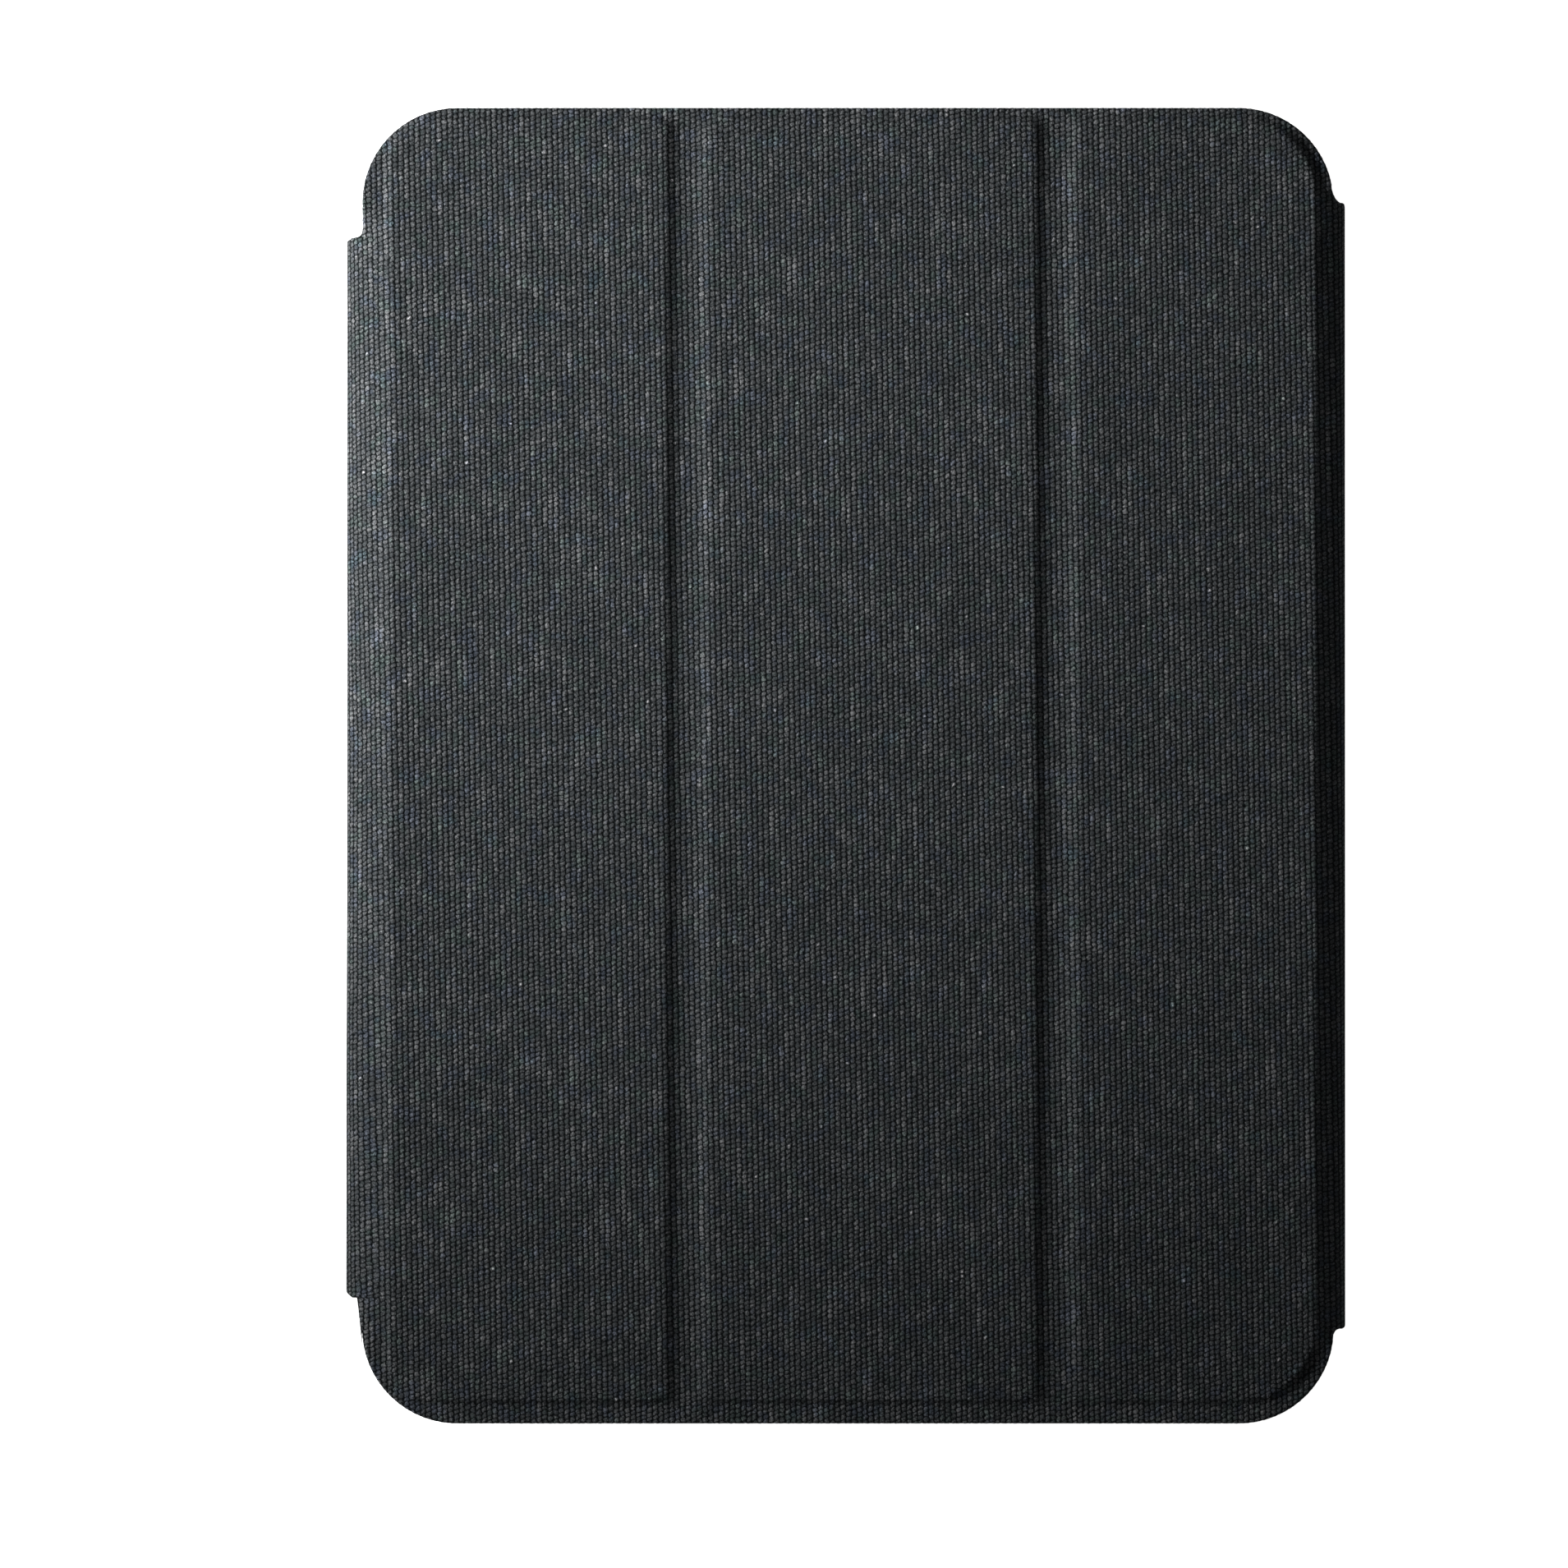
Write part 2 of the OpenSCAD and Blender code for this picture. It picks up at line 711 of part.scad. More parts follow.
module key_cap(k) {
    low = key_top - cap_skirt;
    difference() {
        union() {
            slab(low, key_top - cap_step) rounded(k[0], k[1], k[2], k[3], key_r);
            slab(key_top - cap_step, key_top) rounded(k[0] + cap_step, k[1] - cap_step,
                k[2] + cap_step, k[3] - cap_step, key_r - cap_step);
            block(k[0] - cap_flange, k[1] + cap_flange, k[2] - cap_flange, k[3] + cap_flange,
                low, low + cap_flange_t);
        }
        block(k[0] + cap_wall, k[1] - cap_wall, k[2] + cap_wall, k[3] - cap_wall,
            low - 1, key_top - cap_roof);
    }
    translate([(k[0] + k[1]) / 2, (k[2] + k[3]) / 2, key_top - stem_drop])
        cylinder(r = min(stem_r, (k[1] - k[0]) / 2 - cap_wall - stem_room), h = stem_drop - cap_roof);
}

module keys(list) {
    color("#26282b") for (k = list) key_cap(k);
}

module keys_function_row() {
    keys(fn_keys);
}

module keys_number_row() {
    keys(part_of(number_keys, 0, len(row_number) - 2));
}

module key_delete() {
    keys([number_keys[len(row_number) - 1]]);
}

module keys_upper_row() {
    keys(upper_keys);
}

module keys_home_row() {
    keys(part_of(home_keys, 0, len(row_home) - 2));
}

module key_return() {
    keys([home_keys[len(row_home) - 1]]);
}

module key_shift_left() {
    keys([lower_keys[0]]);
}

module keys_lower_row() {
    keys(part_of(lower_keys, 1, len(row_lower) - 2));
}

module key_shift_right() {
    keys([lower_keys[len(row_lower) - 1]]);
}

module keys_modifier_left() {
    keys(part_of(bottom_keys, 0, len(left_modifiers) - 1));
}

module key_space() {
    keys([bottom_keys[len(left_modifiers)]]);
}

module keys_modifier_right() {
    keys(part_of(bottom_keys, len(left_modifiers) + 1, len(row_bottom) - 1));
}

module key_arrow_left() {
    keys([arrow_keys[0]]);
}

module key_arrow_up() {
    keys([arrow_keys[1]]);
}

module key_arrow_down() {
    keys([arrow_keys[2]]);
}

module key_arrow_right() {
    keys([arrow_keys[3]]);
}

// ---------------------------------------------------------------- keyboard

well_margin = 1.2;
screw_r = 0.8;
screw_head_r = 1.7;
screw_head_t = 0.4;
screw_length = 3.2;
boss_r = 2;
boss_gap = 0.4;
boss_in = kb_wall + boss_r + 0.1;
screw_in = kb_wall + boss_r + 0.6;
screw_x = [kb_x0 + kb_r + 1, rows_x0 - 4, fn_x0 - 2 * key_u];
screw_end = kb_l / 2 - kb_r - 8;
screw_spots = concat([for (side = [-1, 0, 1]) [kb_x1 - screw_in, side * screw_end]],
    [for (x = screw_x, side = [-1, 1]) [x, side * (kb_l / 2 - boss_in)]],
    [[kb_x0 + screw_in, 0]]);

module kb_outline(inset) {
    rounded(kb_x0 + inset, kb_x1 - inset, -kb_l / 2 + inset, kb_l / 2 - inset, kb_r - inset);
}

module well_outline(margin) {
    translate([rows_x0 - margin, -keys_left - margin])
        square([keys_x1 - rows_x0 + 2 * margin, 2 * (keys_left + margin)]);
}

// Places its child at every screw
module at_screws(z) {
    for (s = screw_spots) translate([s[0], s[1], z]) children();
}

strip_w = 5;
strip_sink = 0.3;
strip_in = kb_chamfer + 0.1;
strip_from_middle = 6;
strip_from_screw = 8;
strip_l = screw_end - strip_from_screw - strip_from_middle;

module strip_shape() {
    for (x = [kb_x0 + strip_in, kb_x1 - strip_in - strip_w],
        y = [strip_from_middle, -strip_from_middle - strip_l])
        block(x, x + strip_w, y, y + strip_l, kb_z - strip_proud, kb_z + strip_sink);
}

port_w = 9;
port_h = 3;
port_shell = 0.3;
port_deep = 7;
port_sunk = 0.2;
port_from_side = 30;
port_x = kb_x0 + port_from_side;
port_y1 = kb_l / 2 - port_sunk;
kb_port_z = (kb_in + deck_z) / 2;
tongue_w = 6.7;
tongue_t = 0.7;

// Level slot that runs along Y, with round ends
module long_slot(x, z, w, h, y0, y1) {
    for (side = [-1, 1]) translate([x + side * (w - h) / 2, y0, z]) rotate([-90, 0, 0])
        cylinder(d = h, h = y1 - y0);
    translate([x - (w - h) / 2, y0, z - h / 2]) cube([w - h, y1 - y0, h]);
}

module charging_port() {
    back = port_y1 - port_deep;
    color("silver") {
        difference() {
            long_slot(port_x, kb_port_z, port_w, port_h, back, port_y1);
            long_slot(port_x, kb_port_z, port_w - 2 * port_shell, port_h - 2 * port_shell,
                back + port_shell, port_y1 + 1);
        }
        block(port_x - tongue_w / 2, port_x + tongue_w / 2, back + port_shell / 2, port_y1 - 1,
            kb_port_z - tongue_t / 2, kb_port_z + tongue_t / 2);
    }
}

// The switch is nearly midway between the port and the next screw boss
switch_off_middle = 2.061;
switch_x = (port_x + port_w / 2 + screw_x[1] - boss_r) / 2 - switch_off_middle;
switch_travel = 2.4;
knob_w = 3.2;
knob_h = 1.4;
knob_out = 0.4;
knob_plate = 0.8;
knob_plate_w = 6.6;
knob_plate_h = 2.4;
switch_gap = 0.3;

module power_switch() {
    y_in = kb_l / 2 - kb_wall - switch_gap;
    color("#26282b") {
        block(switch_x - knob_w / 2, switch_x + knob_w / 2, y_in - eps, kb_l / 2 + knob_out,
            kb_port_z - knob_h / 2, kb_port_z + knob_h / 2);
        block(switch_x - knob_plate_w / 2, switch_x + knob_plate_w / 2, y_in - knob_plate, y_in,
            kb_port_z - knob_plate_h / 2, kb_port_z + knob_plate_h / 2);
    }
}

// Battery under the touchpad, and the control board beside it
battery_l = 120;
battery_in = 7.011;
battery_d = pad_d - 2 * battery_in;
battery_t = 1.9;
battery_gap = 0.3;
circuit_l = 26;
circuit_t = 0.8;
circuit_gap = 0.3;
circuit_from_end = 16;
circuit_from_well = 12.422;
circuit_x0 = kb_x0 + circuit_from_end;
circuit_w = rows_x0 - well_margin - circuit_from_well - circuit_x0;
circuit_y1 = port_y1 - port_deep - circuit_gap;
peg_in = 3;
peg_r = 0.9;
peg_out = 0.5;

// Ribs on the floor of the base
rib_t = 0.8;
rib_h = 1.4;
rib_pitch = 16;
rib_side = 6.5;
rib_end = 3;
cradle_l = 14;

module battery_outline(margin) {
    translate([touch_x, 0]) square([battery_d + 2 * margin, battery_l + 2 * margin], center = true);
}

// Low wall round the battery, left open in the middle of each side
module battery_cradle() {
    difference() {
        battery_outline(battery_gap + rib_t);
        battery_outline(battery_gap);
        translate([touch_x, 0]) square([battery_d - 2 * cradle_l, 2 * battery_l], center = true);
        translate([touch_x, 0]) square([2 * battery_d, battery_l - 2 * cradle_l], center = true);
    }
}

// Frame of crossed ribs between two places along the keyboard, clear of the screw bosses
module rib_field(y0, y1) {
    x0 = kb_x0 + rib_side;
    w = rows_x0 - well_margin + eps - x0;
    l = y1 - y0;
    reach = ceil((w + l) / 2 / rib_pitch);
    difference() {
        intersection() {
            kb_outline(kb_wall - eps);
            translate([x0, y0]) square([w, l]);
            union() {
                difference() {
                    translate([x0, y0]) square([w, l]);
                    translate([x0 + rib_t, y0 + rib_t]) square([w - 2 * rib_t, l - 2 * rib_t]);
                }
                for (n = [-reach:reach], turn = [-45, 45])
                    translate([x0 + w / 2 + n * rib_pitch, (y0 + y1) / 2]) rotate(turn)
                        square([rib_t, 2 * (w + l)], center = true);
            }
        }
        for (s = screw_spots) translate([s[0], s[1]]) circle(boss_r + boss_gap);
    }
}

module floor_ribs() {
    battery_end = battery_l / 2 + battery_gap + rib_t / 2;
    slab(kb_in - eps, kb_in + rib_h) {
        battery_cradle();
        rib_field(battery_end, circuit_y1 - circuit_l - rib_end);
        rib_field(-kb_l / 2 + kb_wall - eps, -battery_end);
    }
}

// Places its child at the four pegs that hold the control board
module at_pegs() {
    for (x = [circuit_x0 + peg_in, circuit_x0 + circuit_w - peg_in],
        y = [circuit_y1 - peg_in, circuit_y1 - circuit_l + peg_in])
        translate([x, y, kb_in]) children();
}

module keyboard_base() {
    color("#2a2c30") difference() {
        union() {
            difference() {
                chamfered_plate(kb_x0, kb_x1, -kb_l / 2, kb_l / 2, kb_r, kb_z, deck_z, kb_chamfer);
                slab(kb_in, deck_z + 1) kb_outline(kb_wall);
            }
            slab(kb_in - eps, membrane_z) well_outline(well_margin);
            floor_ribs();
            at_pegs() translate([0, 0, -eps]) cylinder(r = peg_r, h = circuit_t + peg_out + eps);
        }
        strip_shape();
        at_screws(kb_z - 1) cylinder(r = screw_head_r + joint_play, h = 1 + screw_head_t);
        at_screws(kb_z) cylinder(r = screw_r + joint_play, h = kb_floor + 1);
        long_slot(port_x, kb_port_z, port_w + 0.2, port_h + 0.1, kb_l / 2 - kb_wall - 1, kb_l / 2 + 1);
        block(switch_x - knob_w / 2 - switch_gap, switch_x + knob_w / 2 + switch_travel + switch_gap,
            kb_l / 2 - kb_wall - 1, kb_l / 2 + 1,
            kb_port_z - knob_h / 2 - switch_gap, kb_port_z + knob_h / 2 + switch_gap);
    }
}

touch_flange = 1.4;
touch_flange_t = 0.6;
window_r = 0.9;
window_spot = [rows_x0 - 5, keys_left - 12];

// Level box of the touchpad, grown by a margin
module touch_outline(margin, r) {
    rounded(touch_x - pad_d / 2 - margin, touch_x + pad_d / 2 + margin,
        -pad_l / 2 - margin, pad_l / 2 + margin, r + margin);
}

module keyboard_deck() {
    color("#303338") difference() {
        union() {
            slab(deck_z, deck_top) kb_outline(0);
            at_screws(kb_in) cylinder(r = boss_r, h = deck_z - kb_in + eps);
        }
        for (k = all_keys) slab(deck_z - 1, deck_top + 1) rounded(k[0] - key_clear, k[1] + key_clear,
            k[2] - key_clear, k[3] + key_clear, key_r + key_clear);
        slab(deck_z - 1, deck_top + 1) touch_outline(key_clear, 3);
        at_screws(kb_in - 1) cylinder(r = screw_r + 0.05, h = 1 + screw_length - kb_floor);
        translate([window_spot[0], window_spot[1], deck_z - 1]) cylinder(r = window_r, h = deck_t + 2);
    }
}

module keyboard_screws() {
    color("silver") at_screws(kb_z) difference() {
        union() {
            cylinder(r = screw_head_r, h = screw_head_t);
            cylinder(r = screw_r, h = screw_length - 0.2);
        }
        translate([0, 0, -1]) cylinder(r = 0.6, h = 1.25, $fn = 6);
    }
}

module touchpad() {
    color("#3c3f45") {
        slab(deck_z - 0.05, deck_top - touch_sink) touch_outline(0, 3);
        slab(deck_z - 0.05 - touch_flange_t, deck_z - 0.05) touch_outline(touch_flange, 3);
    }
}

module status_window() {
    color("white") translate([window_spot[0], window_spot[1], deck_z + 0.1])
        cylinder(r = window_r, h = deck_t - 0.15);
}

module rubber_strips() {
    color("#151617") strip_shape();
}

// The membrane's tail lies on the control board and ends at its connector
tail_w = 10;
tail_y = circuit_y1 - 19;
tail_on_board = 5;
tail_gap = 0.3;

module switch_membrane() {
    color("#c9c3a0") slab(membrane_z, membrane_z + membrane_t) {
        well_outline(0);
        translate([circuit_x0 + circuit_w - tail_on_board, tail_y])
            square([rows_x0 + eps - circuit_x0 - circuit_w + tail_on_board, tail_w]);
    }
}

module dome_sheet() {
    dome_h = key_top - stem_drop - dome_gap - membrane_z - membrane_t - sheet_t;
    color("#8f9496") {
        slab(membrane_z + membrane_t, membrane_z + membrane_t + sheet_t) well_outline(0);
        for (k = all_keys) translate([(k[0] + k[1]) / 2, (k[2] + k[3]) / 2,
            membrane_z + membrane_t + sheet_t - eps])
            cylinder(r1 = min(dome_r, (k[1] - k[0]) / 2), r2 = 0.7 * stem_r, h = dome_h + eps, $fn = 8);
    }
}

// Chips of the control board: each one's place as a share of the board's width, then its distance
// from the board's far side, its width and its length
chip_t = 0.7;
chips = [[0.17391, 8, 7, 7], [0.47826, 5, 5, 9], [0.65217, 12, 4, 4], [0.26087, 19, 3, 2],
    [0.52174, 17, 6, 3]];
connector_w = 3.4;

// Block on top of the control board
module chip(left, far, w, l, t) {
    translate([circuit_x0 + left, circuit_y1 - far - l, kb_in + circuit_t]) cube([w, l, t]);
}

// Circuit board behind the charging port, with its chips and the connector of the membrane
module control_board() {
    color("#24523a") difference() {
        block(circuit_x0, circuit_x0 + circuit_w, circuit_y1 - circuit_l, circuit_y1,
            kb_in, kb_in + circuit_t);
        at_pegs() translate([0, 0, -1]) cylinder(r = peg_r + joint_play, h = circuit_t + 2);
    }
    color("#1b1c1e") {
        for (c = chips) chip(c[0] * circuit_w, c[1], c[2], c[3], chip_t);
        chip(circuit_w - tail_on_board - tail_gap - connector_w, circuit_y1 - tail_y - tail_w,
            connector_w, tail_w, chip_t);
    }
}

module battery() {
    color("#3f4247") block(touch_x - battery_d / 2, touch_x + battery_d / 2, -battery_l / 2,
        battery_l / 2, kb_in, kb_in + battery_t);
}

// Magnets along both long sides, at these shares of the keyboard's length from its middle
magnet_places = [-0.29, 0.12, 0.29];

module keyboard_magnets() {
    bar_l = 22;
    bar_w = 3;
    bar_t = 1.5;
    inside = kb_wall + joint_play;
    color("silver") for (x = [kb_x0 + inside, kb_x1 - inside - bar_w], share = magnet_places)
        block(x, x + bar_w, share * kb_l - bar_l / 2, share * kb_l + bar_l / 2, kb_in, kb_in + bar_t);
}

// ---------------------------------------------------------------- parts

back_skin();
back_board();
tablet_tray();
tray_felt();
camera_ring();
keeper_strip();
spine_skin();
spine_stiffener();
spine_lining();
back_hinge_web();
cover_hinge_web();
crease_web_1();
crease_web_2();
clasp_hinge_web();
panel_1_skin();
panel_1_board();
panel_1_lining();
prop_keeper();
panel_2_skin();
panel_2_board();
panel_2_lining();
panel_3_skin();
panel_3_board();
panel_3_lining();
sleep_magnets();
clasp_skin();
clasp_stiffener();
clasp_lining();
clasp_magnets();
keyboard_base();
keyboard_deck();
dome_sheet();
switch_membrane();
control_board();
battery();
charging_port();
rubber_strips();
keyboard_magnets();
keyboard_screws();
status_window();
power_switch();
touchpad();
keys_function_row();
keys_number_row();
key_delete();
keys_upper_row();
keys_home_row();
key_return();
key_shift_left();
keys_lower_row();
key_shift_right();
keys_modifier_left();
key_space();
keys_modifier_right();
key_arrow_left();
key_arrow_up();
key_arrow_down();
key_arrow_right();
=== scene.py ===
"""Looks of a folio keyboard case for a tablet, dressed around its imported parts.

The case lies closed on its back. X runs from the spine to the clasp, Y along the long side
and Z up out of the cover. Lengths here are millimetres until a mesh is made.
"""

import json
import logging
import math
from dataclasses import dataclass
from enum import Enum
from typing import Callable, Sequence

import bmesh
import bpy
import numpy as np
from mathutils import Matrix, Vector
from mathutils.geometry import delaunay_2d_cdt


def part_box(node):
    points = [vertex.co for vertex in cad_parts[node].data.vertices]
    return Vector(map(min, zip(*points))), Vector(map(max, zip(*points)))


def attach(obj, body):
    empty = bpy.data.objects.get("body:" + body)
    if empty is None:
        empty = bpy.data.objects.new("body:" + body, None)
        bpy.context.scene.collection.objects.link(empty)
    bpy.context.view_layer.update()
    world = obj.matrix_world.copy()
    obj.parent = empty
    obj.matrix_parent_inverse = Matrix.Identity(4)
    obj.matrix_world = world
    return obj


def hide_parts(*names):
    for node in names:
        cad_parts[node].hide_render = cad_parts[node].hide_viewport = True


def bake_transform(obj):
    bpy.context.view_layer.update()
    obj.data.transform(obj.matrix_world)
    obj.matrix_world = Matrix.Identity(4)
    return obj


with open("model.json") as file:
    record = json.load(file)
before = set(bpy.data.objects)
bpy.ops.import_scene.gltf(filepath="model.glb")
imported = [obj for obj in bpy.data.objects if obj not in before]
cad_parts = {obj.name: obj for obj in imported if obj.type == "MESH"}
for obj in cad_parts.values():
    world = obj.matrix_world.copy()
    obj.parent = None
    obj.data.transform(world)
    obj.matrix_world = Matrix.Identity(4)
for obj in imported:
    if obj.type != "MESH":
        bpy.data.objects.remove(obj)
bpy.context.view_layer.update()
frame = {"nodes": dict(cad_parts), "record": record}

LOG = logging.getLogger("folio")
MM = 0.001
FABRIC = "fabric"
EDGE_STEP = 1.5
SEAM_STEP = 0.8
CREASE_STEP = 0.3
LOOSE_STEP = 3.5
EDGE_ROWS = (0.1, 0.24, 0.4, 0.75)
BOARD_ROWS = (-6.0, -3.0, -1.6, -0.8, -0.4, -0.2, 0.0, 0.2, 0.45, 0.7, 1.0, 1.3, 1.6, 1.9, 2.2,
              2.5)
BACK_ROWS = (0.05, 0.15, 0.3, 0.5, 0.7, 0.9, 1.19, 1.22, 3.0, 6.0)

Points = np.ndarray
Colour = tuple[float, float, float]
HeightAt = Callable[[Points], Points]


# ---- shader maths


def operator(operation: str, reflected: bool = False) -> Callable[["Wire", "Operand"], "Wire"]:
    """A method of a wire that adds the node of one operation.

    Args:
        operation: Blender's name of the operation.
        reflected: whether the wire is the right operand.

    Returns:
        The method.
    """

    def joined(self: "Wire", other: "Operand") -> "Wire":
        """The operation on the wire and another operand."""
        return self.graph.joined(operation, *((other, self) if reflected else (self, other)))

    return joined


@dataclass(frozen=True)
class Wire:
    """One output socket of a node, which takes part in expressions."""

    graph: "Graph"
    socket: bpy.types.NodeSocket

    __add__, __radd__ = operator("ADD"), operator("ADD", True)
    __sub__, __rsub__ = operator("SUBTRACT"), operator("SUBTRACT", True)
    __mul__, __rmul__ = operator("MULTIPLY"), operator("MULTIPLY", True)
    __truediv__, __rtruediv__ = operator("DIVIDE"), operator("DIVIDE", True)
    __pow__, __rpow__ = operator("POWER"), operator("POWER", True)

    def part(self, name: str) -> "Wire":
        """Another output of the same node, such as Y of a split vector."""
        return Wire(self.graph, self.socket.node.outputs[name])

    def whole(self) -> "Wire":
        """The whole number below."""
        return self.graph.maths("FLOOR", self)

    def fraction(self) -> "Wire":
        """What is left above the whole number below."""
        return self.graph.maths("FRACT", self)

    def held(self) -> "Wire":
        """The number kept between 0 and 1."""
        return self.graph.node("ShaderNodeClamp", None, {"Value": self})

    def ramp(self, low: float, high: float) -> "Wire":
        """A smooth rise from 0 at low to 1 at high."""
        return self.graph.node("ShaderNodeMapRange", {"interpolation_type": "SMOOTHSTEP"},
                               {"Value": self, "From Min": low, "From Max": high})


Operand = Wire | float | tuple


def is_triple(side: Operand) -> bool:
    """Whether an operand is three numbers or a wire that carries a vector or a colour."""
    return isinstance(side, tuple) or (
        isinstance(side, Wire) and side.socket.type in ("VECTOR", "RGBA"))


class Graph:
    """The nodes of one material or of the world, made by expressions."""

    def __init__(self, owner: bpy.types.Material | bpy.types.World) -> None:
        """Empties the owner's nodes."""
        owner.use_nodes = True
        self.owner, self.tree = owner, owner.node_tree
        self.tree.nodes.clear()

    def node(self, kind: str, settings: dict | None = None, inputs: dict | None = None) -> Wire:
        """Adds a node.

        Args:
            kind: the node's type.
            settings: its own settings, which are made first.
            inputs: a value or a wire for each named or numbered input.

        Returns:
            Its first usable output.
        """
        made = self.tree.nodes.new(kind)
        for key, value in (settings or {}).items():
            setattr(made, key, value)
        for key, value in (inputs or {}).items():
            usable = [socket for socket in made.inputs if socket.enabled]
            socket = usable[key] if isinstance(key, int) else next(
                found for found in usable if found.name == key)
            if isinstance(value, Wire):
                self.tree.links.new(value.socket, socket)
            elif socket.type == "RGBA" and len(value) == 3:
                socket.default_value = (*value, 1.0)
            else:
                socket.default_value = value
        usable = [socket for socket in made.outputs if socket.enabled]
        return Wire(self, (usable or made.inputs)[0])

    def joined(self, operation: str, first: Operand, second: Operand) -> Wire:
        """Adds the node of one operation.

        Args:
            operation: Blender's name of the operation.
            first: left operand.
            second: right operand.

        Returns:
            The result.
        """
        triples = is_triple(first), is_triple(second)
        if not any(triples):
            return self.maths(operation, first, second)
        if operation == "MULTIPLY" and not all(triples):
            vector, factor = (first, second) if triples[0] else (second, first)
            return self.node("ShaderNodeVectorMath", {"operation": "SCALE"},
                             {"Vector": vector, "Scale": factor})
        return self.node("ShaderNodeVectorMath", {"operation": operation}, {0: first, 1: second})

    def maths(self, operation: str, *sides: Operand) -> Wire:
        """Adds a Math node for plain numbers."""
        return self.node("ShaderNodeMath", {"operation": operation}, dict(enumerate(sides)))

    def mix(self, share: Operand, first: Operand, second: Operand) -> Wire:
        """A colour between two, at a share from 0 to 1."""
        return self.node("ShaderNodeMix", {"data_type": "RGBA"},
                         {"Factor": share, "A": first, "B": second})

    def split(self, vector: Wire) -> tuple[Wire, Wire, Wire]:
        """The three numbers of a vector."""
        first = self.node("ShaderNodeSeparateXYZ", None, {"Vector": vector})
        return first, first.part("Y"), first.part("Z")

    def join(self, x: Operand, y: Operand, z: Operand = 0.0) -> Wire:
        """A vector of three numbers."""
        return self.node("ShaderNodeCombineXYZ", None, {"X": x, "Y": y, "Z": z})

    def noise(self, at: Wire, scale: float, detail: float = 2.0, rough: float = 0.5) -> Wire:
        """Soft noise about one half, with three different ones in its Color."""
        return self.node("ShaderNodeTexNoise", {"noise_dimensions": "3D"},
                         {"Vector": at, "Scale": scale, "Detail": detail, "Roughness": rough})

    def chance(self, *at: Operand) -> Wire:
        """An even random number for each triple of numbers."""
        return self.node("ShaderNodeTexWhiteNoise", {"noise_dimensions": "3D"},
                         {"Vector": self.join(*at)})

    def solid_place(self) -> Wire:
        """Place on a rigid piece, in millimetres."""
        return self.node("ShaderNodeTexCoord").part("Object") * (1 / MM)

    def fabric_place(self) -> Wire:
        """Place along and across the cloth, in millimetres."""
        return self.node("ShaderNodeAttribute", {"attribute_name": FABRIC}).part("Vector")

    def seen(self) -> Wire:
        """1 for rays that show the background itself, and 0 for those that light the case."""
        path = self.node("ShaderNodeLightPath")
        camera, glossy, through = (
            path.part(f"Is {kind} Ray") for kind in ("Camera", "Glossy", "Transmission"))
        return self.maths("MAXIMUM", self.maths("MAXIMUM", camera, glossy), through)

    def bump(self, height: Wire, depth: float) -> Wire:
        """Normal of a surface whose height of 1 stands depth millimetres proud."""
        return self.node("ShaderNodeBump", None,
                         {"Height": height, "Distance": depth * MM, "Strength": 1.0})

    def surface(self, colour: Wire, rough: Wire, normal: Wire,
                **fixed: float) -> bpy.types.Material:
        """Ends the graph in a surface shader.

        Args:
            colour: what goes into Base Color.
            rough: what goes into Roughness.
            normal: what goes into Normal.
            fixed: inputs that are the same all over, with _ for each space in the name.

        Returns:
            The finished material.
        """
        inputs = {name.replace("_", " "): value for name, value in fixed.items()}
        inputs |= {"Base Color": colour, "Roughness": rough, "Normal": normal}
        shader = self.node("ShaderNodeBsdfPrincipled", None, inputs)
        self.node("ShaderNodeOutputMaterial", None, {"Surface": shader})
        return self.owner


# ---- finishes


def toned(colour: Colour, by: float) -> Colour:
    """The same colour, darker or lighter."""
    return tuple(by * part for part in colour)


